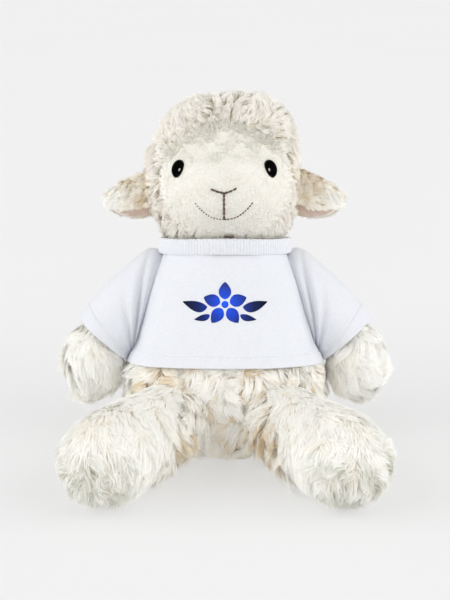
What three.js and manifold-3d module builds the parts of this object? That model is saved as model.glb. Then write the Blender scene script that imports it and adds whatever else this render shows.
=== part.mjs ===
// Plush sheep that sits in a T-shirt: sewn covers of pile fabric, their filling, plastic eyes with washers,
// stitched nose and mouth, and a small shirt with set-in sleeves.
// Millimetres, +Z up. The origin is the middle of the seat on the floor and the face looks along -Y.
// Left and right are the toy's own, so its left side is at +X.
import * as THREE from "three";
import { mergeVertices } from "three/addons/utils/BufferGeometryUtils.js";
import Module from "manifold-3d";

const wasm = await Module();
wasm.setup();

const degrees = THREE.MathUtils.degToRad;

// Fabric, clearances and the lean of the body
const PILE_WALL = 3;
const KNIT_WALL = 1.2;
const GAP = 0.35;
const SLEEVE_PLAY = 0.9;
const OVERRUN = 2;
const WELD_TOLERANCE = 0.0001;
const LEAN = degrees(12);

// Body, in a frame whose Z runs up the leaning spine
const TORSO = { height: 117, halfWidth: 58, halfDepth: 52 };
const NECK_OPENING_RADIUS = 17;
const POUCH = { halfWidth: 42, halfDepth: 34, height: 19 };

// Head
const HEAD = { height: 101, radius: 47, seatDrop: 10.5 };
const MUZZLE = { reach: 9, halfWidth: 36, halfHeight: 25, height: 40.5 };
const FACE = { halfWidth: 36.6, halfHeight: 30.5, height: 45.5 };

// Eyes and stitching
const EYE = { radius: 5.2, bulge: 3.2, spacing: 52.8, height: 54, sink: 0.8 };
const SHANK = { radius: 1.8, length: 9 };
const WASHER = { radius: 6, thickness: 1.2, play: 1 };
const THREAD_RADIUS = 0.55;
const NOSE = { height: 42.2, halfWidth: 7.3, rise: 3, philtrum: 15.8 };
const SMILE = { halfWidth: 16.6, depth: 9.6 };

// Ears: a leaf folded along its top edge, with a round root that turns in a pocket of the head
const EAR = { length: 19.5, flap: 18, fold: 5, fur: 1.8, lining: 1.1, droop: degrees(27) };
const EAR_ROOT = { radius: 12.5, halfWidth: 10.5, height: 41, standOff: 3.5, setBack: 1 };

// Arms, in a frame whose X runs out of the shoulder and whose Z runs up along the armhole
const ARM = { length: 70, height: 83, spacing: 90, forward: 2 };
const ARM_TILT = degrees(17);

// Legs, in a frame whose Z runs from the hip to the foot
const LEG = { length: 82, hipRadius: 23, footRadius: 24, openingRadius: 12 };
const HIP = { spacing: 56, forward: 27, height: 24.5 };
const FLAT_DEPTH = 0.5;
const LEG_SPLAY = degrees(26);
const LEG_LIFT_LIMIT = degrees(20);
const LEG_DROP_LIMIT = degrees(15);

// Tail
const TAIL = { length: 26, radius: 9.5, rootRadius: 7.5, height: 36.5, sink: 1 };
const TAIL_DROOP = degrees(30);
const TAIL_WAG_LIMIT = degrees(20);

// Shirt
const SHIRT = { hemHeight: 47.5, neckHeight: 111, hemFold: 7, hemWall: 0.5, seamGap: 0.4, foldDepth: 1.4 };
const SLEEVE_FOLD_DEPTH = 1.6;
const COLLAR = { height: 10, radius: 39.4, wall: 2 };

// Colours and finishes
const FINISHES = {
  wool: { color: 0xf3efe6, roughness: 0.95, metalness: 0 },
  velour: { color: 0xefeee6, roughness: 0.9, metalness: 0 },
  lining: { color: 0xdcc8b8, roughness: 0.9, metalness: 0 },
  knit: { color: 0xf8f9fc, roughness: 0.85, metalness: 0 },
  eye: { color: 0x0b0a0a, roughness: 0.12, metalness: 0 },
  washer: { color: 0xe6e6e2, roughness: 0.5, metalness: 0 },
  thread: { color: 0x4a3a32, roughness: 0.8, metalness: 0 },
  filling: { color: 0xfafafa, roughness: 1, metalness: 0 },
  pouch: { color: 0xd9d4c8, roughness: 0.9, metalness: 0 },
};

// Each row of the torso: height, half width and half depth, as shares of the torso's own sizes.
const TORSO_OUTLINE_SHARES = [
  [-0.0043, 0.02, 0.02],
  [-0.0035, 0.42, 0.42],
  [0.002, 0.575, 0.575],
  [0.03, 0.72, 0.71],
  [0.075, 0.83, 0.82],
  [0.13, 0.915, 0.91],
  [0.19, 0.975, 0.97],
  [0.25, 1, 1],
  [0.333, 0.985, 0.99],
  [0.39, 0.962, 0.965],
  [0.416, 0.938, 0.945],
  [0.479, 0.915, 0.915],
  [0.562, 0.88, 0.87],
  [0.645, 0.835, 0.82],
  [0.739, 0.785, 0.775],
  [0.854, 0.71, 0.735],
  [0.937, 0.64, 0.705],
  [1, 0.585, 0.655],
  [1.036, 0.36, 0.4],
  [1.047, 0.02, 0.022],
];
const BELLY_POWER = 2.5;
const NECK_POWER = 2;
const POWER_BLEND_SHARES = [0.77, 0.937];
const SEAT_LEVEL_SHARES = [0, 0.3];

// Each row of the head: radius and height, as shares of the head's own sizes.
const HEAD_OUTLINE_SHARES = [
  [0, 0],
  [0.36, 0.018],
  [0.57, 0.05],
  [0.71, 0.1],
  [0.795, 0.155],
  [0.875, 0.225],
  [0.95, 0.32],
  [0.993, 0.42],
  [1, 0.52],
  [0.985, 0.62],
  [0.925, 0.72],
  [0.81, 0.82],
  [0.65, 0.9],
  [0.425, 0.96],
  [0, 1],
];

// Each row of a sleeve and an arm: the top edge out and up, the bottom edge out and up, and the half depth,
// as shares of the arm's length. The sleeve ends at its cuff, and the arm goes on into the hand.
const SLEEVE_SHARES = [
  [0, 0.395, 0, -0.386, 0.221],
  [0.127, 0.439, 0.012, -0.398, 0.245],
  [0.264, 0.252, 0.026, -0.412, 0.268],
  [0.424, -0.031, 0.04, -0.459, 0.265],
  [0.53, -0.319, 0.048, -0.519, 0.252],
];
const HAND_SHARES = [
  [0.54, -0.425, 0.06, -0.6, 0.258],
  [0.557, -0.63, 0.052, -0.72, 0.264],
  [0.507, -0.82, 0.085, -0.838, 0.214],
  [0.4, -0.935, 0.17, -0.935, 0.124],
  [0.29, -0.975, 0.25, -0.975, 0.02],
];

// Each row of a leg past the hip's ball: radius as a share of the foot's, and place along the leg's length.
const LEG_OUTLINE_SHARES = [
  [0.955, 0.14],
  [0.975, 0.36],
  [0.99, 0.56],
  [1, 0.76],
  [1, 0.94],
  [0.93, 1.09],
  [0.75, 1.195],
  [0.42, 1.26],
  [0, 1.275],
];
const HIP_BALL_SHARES = [-1, -0.92, -0.72, -0.42, 0];

// Each row of the tail past its root ball: radius as a share of its own, and place along its length.
const TAIL_OUTLINE_SHARES = [
  [0.9, 0.18],
  [1, 0.42],
  [0.92, 0.68],
  [0.6, 0.9],
  [0, 1],
];

// Each row of an ear: place along its length, fold width, front flap and back flap as shares of their sizes.
const EAR_SHARES = [
  [-0.5, 0.9, 0.95, 1],
  [0, 1, 1.1, 1.16],
  [0.35, 1.02, 1, 1.08],
  [0.7, 0.95, 0.78, 0.86],
  [0.9, 0.8, 0.55, 0.62],
  [1, 0.62, 0.32, 0.38],
];
const EAR_HOLLOW_SHARE = 0.3;

// Facet counts
const TORSO_SIDES = 28;
const INNER_SIDES = 16;
const LIMB_SIDES = 18;
const INNER_LIMB_SIDES = 12;
const SWEEP_SIDES = 14;
const TORSO_STEPS = 16;
const HEAD_STEPS = 12;
const DISC_SIDES = 12;
const THREAD_SIDES = 6;
const SEARCH_STEPS = 24;

// Turns a closed geometry into a solid, facing outwards whichever way its triangles were laid.
function solidFrom(geometry) {
  const bare = geometry.clone();
  bare.deleteAttribute("normal");
  bare.deleteAttribute("uv");
  const merged = mergeVertices(bare, WELD_TOLERANCE);
  const triVerts = new Uint32Array(merged.index.array);
  const build = () =>
    new wasm.Manifold(
      new wasm.Mesh({ numProp: 3, vertProperties: merged.attributes.position.array, triVerts }),
    );
  const made = build();
  if (made.volume() > 0) return made;
  for (let i = 0; i < triVerts.length; i += 3) {
    [triVerts[i + 1], triVerts[i + 2]] = [triVerts[i + 2], triVerts[i + 1]];
  }
  return build();
}

function geometryFrom(solid) {
  const mesh = solid.getMesh();
  const positions = new Float32Array(mesh.numVert * 3);
  for (let i = 0; i < mesh.numVert; i += 1) {
    positions.set(mesh.vertProperties.subarray(i * mesh.numProp, i * mesh.numProp + 3), i * 3);
  }
  const geometry = new THREE.BufferGeometry();
  geometry.setAttribute("position", new THREE.BufferAttribute(positions, 3));
  geometry.setIndex(new THREE.BufferAttribute(mesh.triVerts, 1));
  geometry.computeVertexNormals();
  return geometry;
}

// A closed skin over rings of equal count, with a fan to the middle of the first and the last ring.
function loft(rings) {
  const count = rings[0].length;
  const middle = (ring) =>
    ring.reduce((sum, p) => sum.add(p), new THREE.Vector3()).divideScalar(count);
  const points = [middle(rings[0]), ...rings.flat(), middle(rings.at(-1))];
  const last = points.length - 1;
  const index = [];
  for (let j = 0; j < count; j += 1) {
    const next = (j + 1) % count;
    index.push(0, 1 + next, 1 + j);
    for (let i = 0; i + 1 < rings.length; i += 1) {
      const a = 1 + i * count;
      const b = a + count;
      index.push(a + j, a + next, b + next, a + j, b + next, b + j);
    }
    const top = 1 + (rings.length - 1) * count;
    index.push(last, top + j, top + next);
  }
  const geometry = new THREE.BufferGeometry().setFromPoints(points);
  geometry.setIndex(index);
  return solidFrom(geometry);
}

// Rows of numbers read as one smooth curve: the value of each column at a place from 0 to 1.
function smoothRows(rows) {
  const last = rows.length - 1;
  return (place) => {
    const at = Math.min(place * last, last - 1e-9);
    const i = Math.floor(at);
    const t = at - i;
    const row = (k) => rows[Math.max(0, Math.min(last, k))];
    return rows[0].map((_, c) => {
      const slopeIn = (row(i + 1)[c] - row(i - 1)[c]) / 2;
      const slopeOut = (row(i + 2)[c] - row(i)[c]) / 2;
      const rise = row(i + 1)[c] - row(i)[c];
      return row(i)[c] + t * (slopeIn + t * (3 * rise - 2 * slopeIn - slopeOut + t * (slopeIn + slopeOut - 2 * rise)));
    });
  };
}

function outlinePlaces(steps) {
  return Array.from({ length: steps + 1 }, (_, i) => i / steps);
}

// A body of revolution about Z from rows of [radius, height].
function turned(rows, sides) {
  const outline = rows.map(([radius, height]) => new THREE.Vector2(radius, height));
  return solidFrom(new THREE.LatheGeometry(outline, sides).rotateX(Math.PI / 2));
}

function cylinder(radius, from, to, sides = DISC_SIDES) {
  return turned([[0, from], [radius, from], [radius, to], [0, to]], sides);
}

function box(width, depth, height, centre) {
  const geometry = new THREE.BoxGeometry(width, depth, height);
  return solidFrom(geometry.translate(centre.x, centre.y, centre.z));
}

function moved(solid, matrix) {
  return solid.transform(matrix.elements);
}

function mirrored(solid) {
  return solid.mirror([1, 0, 0]);
}

// A round thread along a path.
function thread(points, radius) {
  const path = new THREE.CatmullRomCurve3(points);
  const section = new THREE.Shape().absarc(0, 0, radius, 0, 2 * Math.PI);
  return solidFrom(
    new THREE.ExtrudeGeometry(section, {
      steps: points.length * 2 - 2,
      curveSegments: THREAD_SIDES / 2,
      extrudePath: path,
    }),
  );
}

// The frames of the sub-assemblies
const bodyFrame = new THREE.Matrix4().makeRotationX(-LEAN);
const bodyFrameInverse = bodyFrame.clone().invert();
const shoulderFrame = new THREE.Matrix4()
  .makeTranslation(ARM.spacing / 2, -ARM.forward, ARM.height)
  .multiply(new THREE.Matrix4().makeRotationY(-ARM_TILT));
const hipPlace = new THREE.Vector3(HIP.spacing / 2, -HIP.forward, HIP.height);
const legRise = Math.asin((LEG.footRadius - FLAT_DEPTH - HIP.height) / LEG.length);

function hipFrame(lift) {
  return new THREE.Matrix4()
    .makeTranslation(hipPlace.x, hipPlace.y, hipPlace.z)
    .multiply(new THREE.Matrix4().makeRotationZ(LEG_SPLAY))
    .multiply(new THREE.Matrix4().makeRotationX(Math.PI / 2 - legRise - lift));
}

const roomSize = 4 * TORSO.height;

// Soft folds of the shirt that deepen from the chest to the hem, from 0 to 1.
function shirtFold(angle, up) {
  const fall = 1 - THREE.MathUtils.smoothstep(up * TORSO.height, SHIRT.hemHeight, SHIRT.neckHeight);
  return fall * (0.5 + 0.5 * Math.cos(6 * angle + 3 * up));
}

// Torso: stacked rounded sections along the spine, grown or shrunk by a given amount. Towards the seat each one tips
// forward by up to the lean, so that the lowest is level with the floor.
function torsoSolid(grow, sides, steps, foldDepth = 0) {
  const rowAt = smoothRows(TORSO_OUTLINE_SHARES);
  const [blendFrom, blendTo] = POWER_BLEND_SHARES;
  const rings = outlinePlaces(steps).map((place) => {
    const [up, wide, deep] = rowAt(place);
    const blend = THREE.MathUtils.smoothstep(up, blendFrom, blendTo);
    const power = THREE.MathUtils.lerp(BELLY_POWER, NECK_POWER, blend);
    const tip = Math.tan(LEAN) * (1 - THREE.MathUtils.smoothstep(up, ...SEAT_LEVEL_SHARES));
    const halfWidth = Math.max(wide * TORSO.halfWidth + grow, GAP);
    const halfDepth = Math.max(deep * TORSO.halfDepth + grow, GAP);
    return Array.from({ length: sides }, (_, j) => {
      const angle = (2 * Math.PI * j) / sides;
      const c = Math.cos(angle);
      const s = Math.sin(angle);
      const fold = foldDepth * shirtFold(angle, up);
      const y = Math.sign(s) * Math.abs(s) ** (2 / power) * (halfDepth + fold);
      return new THREE.Vector3(
        Math.sign(c) * Math.abs(c) ** (2 / power) * (halfWidth + fold),
        y,
        up * TORSO.height + y * tip,
      );
    });
  });
  return loft(rings);
}

// Everything above a level of the floor, in the body's frame.
function aboveFloor(level) {
  const centre = new THREE.Vector3(0, 0, roomSize / 2 + level);
  return moved(box(roomSize, roomSize, roomSize, centre), bodyFrameInverse);
}

// Head: a round outline about the spine, with the muzzle pushed forward.
const headBase = TORSO.height - HEAD.seatDrop;
const headRowAt = smoothRows(HEAD_OUTLINE_SHARES);

function headOutline(grow, steps) {
  const rows = outlinePlaces(steps).map((place) => {
    const [out, up] = headRowAt(place);
    return new THREE.Vector2(Math.max(out * HEAD.radius, 0), up * HEAD.height);
  });
  const last = rows.length - 1;
  return rows.map((row, i) => {
    if (i === 0) return [0, row.y - grow];
    if (i === last) return [0, row.y + grow];
    const along = rows[i + 1].clone().sub(rows[i - 1]).normalize();
    return [Math.max(row.x + along.y * grow, GAP), row.y - along.x * grow];
  });
}

function muzzleReach(x, height) {
  const across = x / MUZZLE.halfWidth;
  const up = (height - MUZZLE.height) / MUZZLE.halfHeight;
  const left = 1 - across * across - up * up;
  return left > 0 ? MUZZLE.reach * left * left * (3 - 2 * left) : 0;
}

function headSolid(grow, sides, steps) {
  const rows = headOutline(grow, steps).map(([radius, height]) => new THREE.Vector2(radius, height));
  const geometry = new THREE.LatheGeometry(rows, sides).rotateX(Math.PI / 2);
  const position = geometry.attributes.position;
  for (let i = 0; i < position.count; i += 1) {
    const [x, y, z] = [position.getX(i), position.getY(i), position.getZ(i)];
    const front = THREE.MathUtils.smoothstep(-y, 0, HEAD.radius / 2);
    position.setY(i, y - front * muzzleReach(x, z));
  }
  return solidFrom(geometry.translate(0, 0, headBase));
}

// The front of the head at a place across and up from the head's base.
function facePoint(x, height) {
  let low = 0;
  let high = 1;
  for (let i = 0; i < SEARCH_STEPS; i += 1) {
    const place = (low + high) / 2;
    if (headRowAt(place)[1] * HEAD.height < height) low = place;
    else high = place;
  }
  const radius = headRowAt(low)[0] * HEAD.radius;
  const depth = Math.sqrt(Math.max(radius * radius - x * x, 0));
  return new THREE.Vector3(x, -depth - muzzleReach(x, height), headBase + height);
}

function faceNormal(x, height) {
  const step = GAP;
  const across = facePoint(x + step, height).sub(facePoint(x - step, height));
  const up = facePoint(x, height + step).sub(facePoint(x, height - step));
  return across.cross(up).normalize();
}

// Frame of an eye: origin on the face, Z out of it.
function eyeFrame() {
  const place = facePoint(EYE.spacing / 2, EYE.height);
  const turn = new THREE.Quaternion().setFromUnitVectors(
    new THREE.Vector3(0, 0, 1),
    faceNormal(EYE.spacing / 2, EYE.height),
  );
  return new THREE.Matrix4().compose(place, turn, new THREE.Vector3(1, 1, 1));
}

function facePrism(grow) {
  const outline = new THREE.Shape().absellipse(
    0,
    headBase + FACE.height,
    FACE.halfWidth + grow,
    FACE.halfHeight + grow,
    0,
    2 * Math.PI,
  );
  const depth = HEAD.radius * 2;
  const geometry = new THREE.ExtrudeGeometry(outline, {
    depth,
    curveSegments: TORSO_SIDES / 2,
    bevelEnabled: false,
  });
  return solidFrom(geometry.rotateX(Math.PI / 2));
}

// Stitched lines on the face
function nosePath() {
  const arm = (share) => facePoint(share * NOSE.halfWidth, NOSE.height + NOSE.rise * share * share);
  return [-1, -0.6, -0.25, 0, 0.25, 0.6, 1].map(arm);
}

function philtrumPath() {
  const end = NOSE.philtrum - THREAD_RADIUS * 2 - GAP;
  return [0, 1 / 3, 2 / 3, 1].map((share) => facePoint(0, NOSE.height - share * end));
}

function smilePath() {
  const lowest = NOSE.height - NOSE.philtrum;
  return outlinePlaces(12).map((place) => {
    const share = 2 * place - 1;
    return facePoint(share * SMILE.halfWidth, lowest + SMILE.depth * Math.abs(share) ** 2.4);
  });
}

// Ears: a sheet folded along its top edge, given a thickness between two offsets from its outer face.
const earPlace = new THREE.Vector3(
  HEAD.radius + EAR_ROOT.standOff,
  EAR_ROOT.setBack,
  headBase + EAR_ROOT.height,
);

// The fold of the ear at one place along it: a half round at the top and a flap down each side.
function earSection(row, inset, overrun) {
  const [along, foldShare, frontShare, backShare] = row;
  const radius = foldShare * EAR.fold - inset;
  const flapPoint = (side, share, down) => {
    const past = down === 1 ? overrun : 0;
    const spread = share * down * down * EAR.fold + (past * 1.5 * EAR.fold) / EAR.flap;
    return [side * (radius + spread), -share * down * EAR.flap - past];
  };
  const bend = [0, 1, 2, 3, 4].map((i) => {
    const angle = Math.PI * (1 - i / 4);
    return [radius * Math.cos(angle), radius * Math.sin(angle)];
  });
  const shape = [
    flapPoint(-1, frontShare, 1),
    flapPoint(-1, frontShare, 0.5),
    ...bend,
    flapPoint(1, backShare, 0.5),
    flapPoint(1, backShare, 1),
  ];
  const out = along * (EAR.length - inset);
  return shape.map(([y, z]) => new THREE.Vector3(out, y, z));
}

function earLeaf(inset, overrun) {
  const rowAt = smoothRows(EAR_SHARES);
  return loft(outlinePlaces(6).map((place) => earSection(rowAt(place), inset, overrun)));
}

// The round root, concentric with the ear's hinge, and everything past it.
function earRoot(radius, halfWidth) {
  return moved(cylinder(radius, -halfWidth, halfWidth), new THREE.Matrix4().makeRotationX(Math.PI / 2));
}

function pastX(from) {
  return box(roomSize, roomSize, roomSize, new THREE.Vector3(from + roomSize / 2, 0, 0));
}

function earOnHead(leaf) {
  const lift = new THREE.Matrix4().makeTranslation(0, 0, EAR.flap * 0.36);
  const droop = new THREE.Matrix4().makeRotationY(EAR.droop).multiply(lift);
  const kept = earRoot(EAR_ROOT.radius, EAR_ROOT.halfWidth).add(pastX(0));
  return moved(leaf, droop).intersect(kept).translate(earPlace.toArray());
}

// The pile side of an ear is solid at its root and hollow past it, where the lining lies.
function earOuter() {
  const hollow = earLeaf(EAR.fur, OVERRUN).intersect(pastX(EAR.length * EAR_HOLLOW_SHARE));
  return earOnHead(earLeaf(0, 0).subtract(hollow));
}

function earLining() {
  const outer = EAR.fur + GAP;
  const sheet = earLeaf(outer, 0).subtract(earLeaf(outer + EAR.lining, OVERRUN));
  return earOnHead(sheet.intersect(pastX(EAR.length * EAR_HOLLOW_SHARE + GAP)));
}

// Sleeves and arms: sections between a top edge and a bottom edge in the shoulder's frame.
function limbRings(rows, steps, sides, inset, startOut, endOut, foldDepth = 0) {
  const rowAt = smoothRows(rows);
  return outlinePlaces(steps).map((place, i) => {
    const [topOut, topUp, bottomOut, bottomUp, deep] = rowAt(place).map((v) => v * ARM.length);
    const top = new THREE.Vector3(topOut, 0, topUp);
    const bottom = new THREE.Vector3(bottomOut, 0, bottomUp);
    const middle = top.clone().add(bottom).divideScalar(2);
    const up = top.clone().sub(middle);
    const half = Math.max(up.length() - inset, GAP);
    const out = new THREE.Vector3(up.z, 0, -up.x).normalize();
    if (i === 0) middle.addScaledVector(out, startOut);
    if (i === steps) middle.addScaledVector(out, endOut);
    const depth = Math.max(deep - inset, GAP);
    const along = up.clone().normalize();
    return Array.from({ length: sides }, (_, j) => {
      const angle = (2 * Math.PI * j) / sides;
      const fold = foldDepth * sleeveFold(angle, place);
      return middle
        .clone()
        .addScaledVector(along, (half + fold) * Math.cos(angle))
        .add(new THREE.Vector3(0, (depth + fold) * Math.sin(angle), 0));
    });
  });
}

const armRows = [
  ...SLEEVE_SHARES.map((row) => {
    const inset = (KNIT_WALL + SLEEVE_PLAY) / ARM.length;
    const [topOut, topUp, bottomOut, bottomUp, deep] = row;
    const half = Math.hypot(topOut - bottomOut, topUp - bottomUp) / 2;
    const pull = inset / (2 * half);
    return [
      topOut + (bottomOut - topOut) * pull,
      topUp + (bottomUp - topUp) * pull,
      bottomOut + (topOut - bottomOut) * pull,
      bottomUp + (topUp - bottomUp) * pull,
      deep - inset,
    ];
  }),
  ...HAND_SHARES,
];

// Creases that fan out of the armpit over the lower half of a sleeve, from 0 to 1.
function sleeveFold(angle, place) {
  const low = 0.5 - 0.5 * Math.cos(angle);
  const wave = 0.5 + 0.5 * Math.cos(5 * angle + 2 * place);
  return low * wave * Math.sin(Math.PI * Math.min(place * 1.15, 1)) ** 0.7;
}

// The room of the shirt's collar, in the shoulder's frame.
function collarRoom() {
  const room = cylinder(COLLAR.radius + GAP, collarBottom - GAP, collarTop + GAP, TORSO_SIDES);
  return moved(room, shoulderFrame.clone().invert());
}

function sleeveSolid() {
  const outer = loft(limbRings(SLEEVE_SHARES, 8, LIMB_SIDES, 0, 0, 0, SLEEVE_FOLD_DEPTH));
  const inner = loft(
    limbRings(SLEEVE_SHARES, 8, LIMB_SIDES, KNIT_WALL, -OVERRUN, OVERRUN, SLEEVE_FOLD_DEPTH),
  );
  return outer.subtract(inner).intersect(pastX(GAP)).subtract(collarRoom());
}

function armSkinSolid() {
  const outer = loft(limbRings(armRows, 18, LIMB_SIDES, 0, 0, 0));
  const inner = armFillingShape(PILE_WALL, -OVERRUN, -PILE_WALL);
  return outer.subtract(inner).intersect(pastX(GAP));
}

function armFillingShape(inset, startOut, endOut) {
  const rows = armRows.slice(0, -1);
  return loft(limbRings(rows, 8, INNER_LIMB_SIDES, inset, startOut, endOut));
}

function armFillingSolid() {
  const endOut = -PILE_WALL - GAP;
  return armFillingShape(PILE_WALL + GAP, -OVERRUN, endOut).intersect(pastX(GAP));
}

// Legs: a ball at the hip, a thigh that swells into the foot.
function legOutline(grow) {
  const ball = HIP_BALL_SHARES.map((share) => [
    Math.sqrt(1 - share * share) * (LEG.hipRadius + grow),
    share * (LEG.hipRadius + grow),
  ]);
  const rest = LEG_OUTLINE_SHARES.map(([out, along], i) => {
    const tip = i === LEG_OUTLINE_SHARES.length - 1;
    const radius = tip ? 0 : Math.max(out * LEG.footRadius + grow, GAP);
    return [radius, along * LEG.length + (along > 1 ? grow : 0)];
  });
  return [...ball, ...rest];
}

function legSolid(grow, sides) {
  return turned(legOutline(grow), sides);
}

function legInHip(solid) {
  return moved(solid, hipFrame(0));
}

// The room that a turned limb sweeps near its root, as one hull over the frames it passes.
function sweptRoom(rows, length, frames) {
  const roundness = Math.cos(Math.PI / SWEEP_SIDES);
  const near = rows.filter(([, along]) => along < length / 2);
  const tip = [0, near.at(-1)[1] + OVERRUN];
  const limb = turned([...near.map(([radius, along]) => [radius / roundness, along]), tip], SWEEP_SIDES);
  return wasm.Manifold.hull(frames.map((frame) => moved(limb, frame)));
}

function legSweep() {
  const lifts = [-LEG_DROP_LIMIT, 0, LEG_LIFT_LIMIT / 2, LEG_LIFT_LIMIT];
  const frames = lifts.map((lift) => bodyFrameInverse.clone().multiply(hipFrame(lift)));
  return sweptRoom(legOutline(2 * GAP), LEG.length, frames);
}

// Tail: a root ball and a drop behind it.
const tailPlace = new THREE.Vector3(0, TORSO.halfDepth - TAIL.sink, TAIL.height);

function tailOutline(grow) {
  const ball = HIP_BALL_SHARES.map((share) => [
    Math.sqrt(1 - share * share) * (TAIL.rootRadius + grow),
    share * (TAIL.rootRadius + grow),
  ]);
  const rest = TAIL_OUTLINE_SHARES.map(([out, along]) => [
    out > 0 ? out * TAIL.radius + grow : 0,
    along * TAIL.length + (out > 0 ? 0 : grow),
  ]);
  return [...ball, ...rest];
}

function tailFrame(wag) {
  return new THREE.Matrix4()
    .makeTranslation(tailPlace.x, tailPlace.y, tailPlace.z)
    .multiply(new THREE.Matrix4().makeRotationZ(wag))
    .multiply(new THREE.Matrix4().makeRotationX(-Math.PI / 2 - TAIL_DROOP));
}

// Build of the torso
const headRoom = headSolid(GAP, TORSO_SIDES, HEAD_STEPS);
const leftLegSweep = legSweep();
const legRoom = leftLegSweep.add(mirrored(leftLegSweep));
const tailWags = [-TAIL_WAG_LIMIT, 0, TAIL_WAG_LIMIT];
const tailRoom = sweptRoom(tailOutline(2 * GAP), TAIL.length, tailWags.map(tailFrame));
const armRoomLeft = moved(pastX(0), shoulderFrame);
const armRoom = armRoomLeft.add(mirrored(armRoomLeft));
const neckPassage = cylinder(NECK_OPENING_RADIUS, TORSO.height / 2, TORSO.height * 1.5);
const neckPlug = cylinder(NECK_OPENING_RADIUS - GAP, TORSO.height / 2, TORSO.height * 1.5);

const torsoOuter = torsoSolid(0, TORSO_SIDES, TORSO_STEPS)
  .intersect(aboveFloor(0))
  .subtract(armRoom);
const torsoInside = (inset) =>
  torsoSolid(-inset, INNER_SIDES, TORSO_STEPS)
    .intersect(aboveFloor(inset))
    .subtract(headSolid(GAP + inset, INNER_SIDES, HEAD_STEPS));
const torsoSkin = torsoOuter
  .subtract(torsoInside(PILE_WALL))
  .subtract(neckPassage)
  .subtract(headRoom)
  .subtract(legRoom)
  .subtract(tailRoom);

function pouchSolid(grow) {
  const rows = outlinePlaces(8).map((place) => {
    const angle = (place - 0.5) * Math.PI;
    return [Math.cos(angle), Math.sin(angle)];
  });
  const centre = new THREE.Matrix4()
    .makeTranslation(0, 0, PILE_WALL + GAP)
    .scale(new THREE.Vector3(POUCH.halfWidth + grow, POUCH.halfDepth + grow, POUCH.height + grow));
  return moved(moved(turned(rows, DISC_SIDES), centre), bodyFrameInverse);
}

const torsoFill = torsoInside(PILE_WALL + GAP);
const pelletPouch = pouchSolid(0).intersect(torsoFill).subtract(legRoom);
const torsoFilling = torsoFill
  .add(neckPlug.intersect(torsoSolid(-GAP, INNER_SIDES, TORSO_STEPS)))
  .subtract(pouchSolid(GAP))
  .subtract(headRoom)
  .subtract(legRoom)
  .subtract(tailRoom)
  .subtract(armRoom.translate([0, 0, 0]));

// Build of the head
const earPocket = earRoot(EAR_ROOT.radius + 2 * GAP, EAR_ROOT.halfWidth + GAP).translate(earPlace.toArray());
const earRoom = earPocket.add(mirrored(earPocket));
const eyeTurn = eyeFrame();

function eyeSolid(grow) {
  const dome = [0, 0.25, 0.5, 0.75, 1].map((share) => {
    const angle = (share * Math.PI) / 2;
    return [(EYE.radius + grow) * Math.cos(angle), EYE.bulge * Math.sin(angle) - EYE.sink + grow];
  });
  dome[dome.length - 1][0] = 0;
  const rows = [
    [0, -SHANK.length - grow],
    [SHANK.radius + grow, -SHANK.length - grow],
    [SHANK.radius + grow, -EYE.sink - grow],
    [EYE.radius + grow, -EYE.sink - grow],
    ...dome.slice(grow > 0 ? 0 : 1),
  ];
  return turned(rows, DISC_SIDES);
}

function washerSolid(grow) {
  const top = -PILE_WALL - WASHER.play + grow;
  const bottom = top - WASHER.thickness - 2 * grow;
  const bore = SHANK.radius + GAP;
  if (grow > 0) return cylinder(WASHER.radius + grow, bottom, top);
  const rows = [[bore, bottom], [WASHER.radius, bottom], [WASHER.radius, top], [bore, top], [bore, bottom]];
  return turned(rows, DISC_SIDES);
}

const eyeLeft = moved(eyeSolid(0), eyeTurn);
const washerLeft = moved(washerSolid(0), eyeTurn);
const eyeRoomLeft = moved(eyeSolid(GAP), eyeTurn);
const washerRoomLeft = moved(washerSolid(GAP), eyeTurn);
const eyeRoom = eyeRoomLeft.add(mirrored(eyeRoomLeft));
const washerRoom = washerRoomLeft.add(mirrored(washerRoomLeft));

const noseStitch = thread(nosePath(), THREAD_RADIUS).add(thread(philtrumPath(), THREAD_RADIUS));
const mouthStitch = thread(smilePath(), THREAD_RADIUS);
const grooves = wasm.Manifold.union(
  [nosePath(), philtrumPath(), smilePath()].map((path) => thread(path, THREAD_RADIUS + GAP)),
);

const headShell = headSolid(0, TORSO_SIDES, HEAD_STEPS)
  .subtract(headSolid(-PILE_WALL, INNER_SIDES, HEAD_STEPS))
  .subtract(neckPassage);
const headSkin = headShell.subtract(facePrism(GAP / 2)).subtract(earRoom);
const facePanel = headShell
  .intersect(facePrism(-GAP / 2))
  .subtract(earRoom)
  .subtract(eyeRoom)
  .subtract(grooves);
const headFilling = headSolid(-PILE_WALL - GAP, INNER_SIDES, HEAD_STEPS)
  .add(neckPlug.intersect(headSolid(0, TORSO_SIDES, HEAD_STEPS)))
  .subtract(earRoom)
  .subtract(eyeRoom)
  .subtract(washerRoom);

// Build of the shirt
function slab(from, to) {
  return box(roomSize, roomSize, to - from, new THREE.Vector3(0, 0, (from + to) / 2));
}

const shirtShape = (grow) => torsoSolid(grow, TORSO_SIDES, TORSO_STEPS, SHIRT.foldDepth);
const hemTop = SHIRT.hemHeight + SHIRT.hemFold;
const shirtBand = shirtShape(GAP + KNIT_WALL)
  .intersect(slab(SHIRT.hemHeight, SHIRT.neckHeight))
  .add(shirtShape(GAP + KNIT_WALL + SHIRT.hemWall).intersect(slab(SHIRT.hemHeight, hemTop)))
  .subtract(shirtShape(GAP))
  .subtract(armRoom);

function halfSpace(side) {
  const middle = side * (roomSize / 2 + SHIRT.seamGap / 2);
  return box(roomSize, roomSize, roomSize, new THREE.Vector3(0, middle, 0));
}

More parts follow.
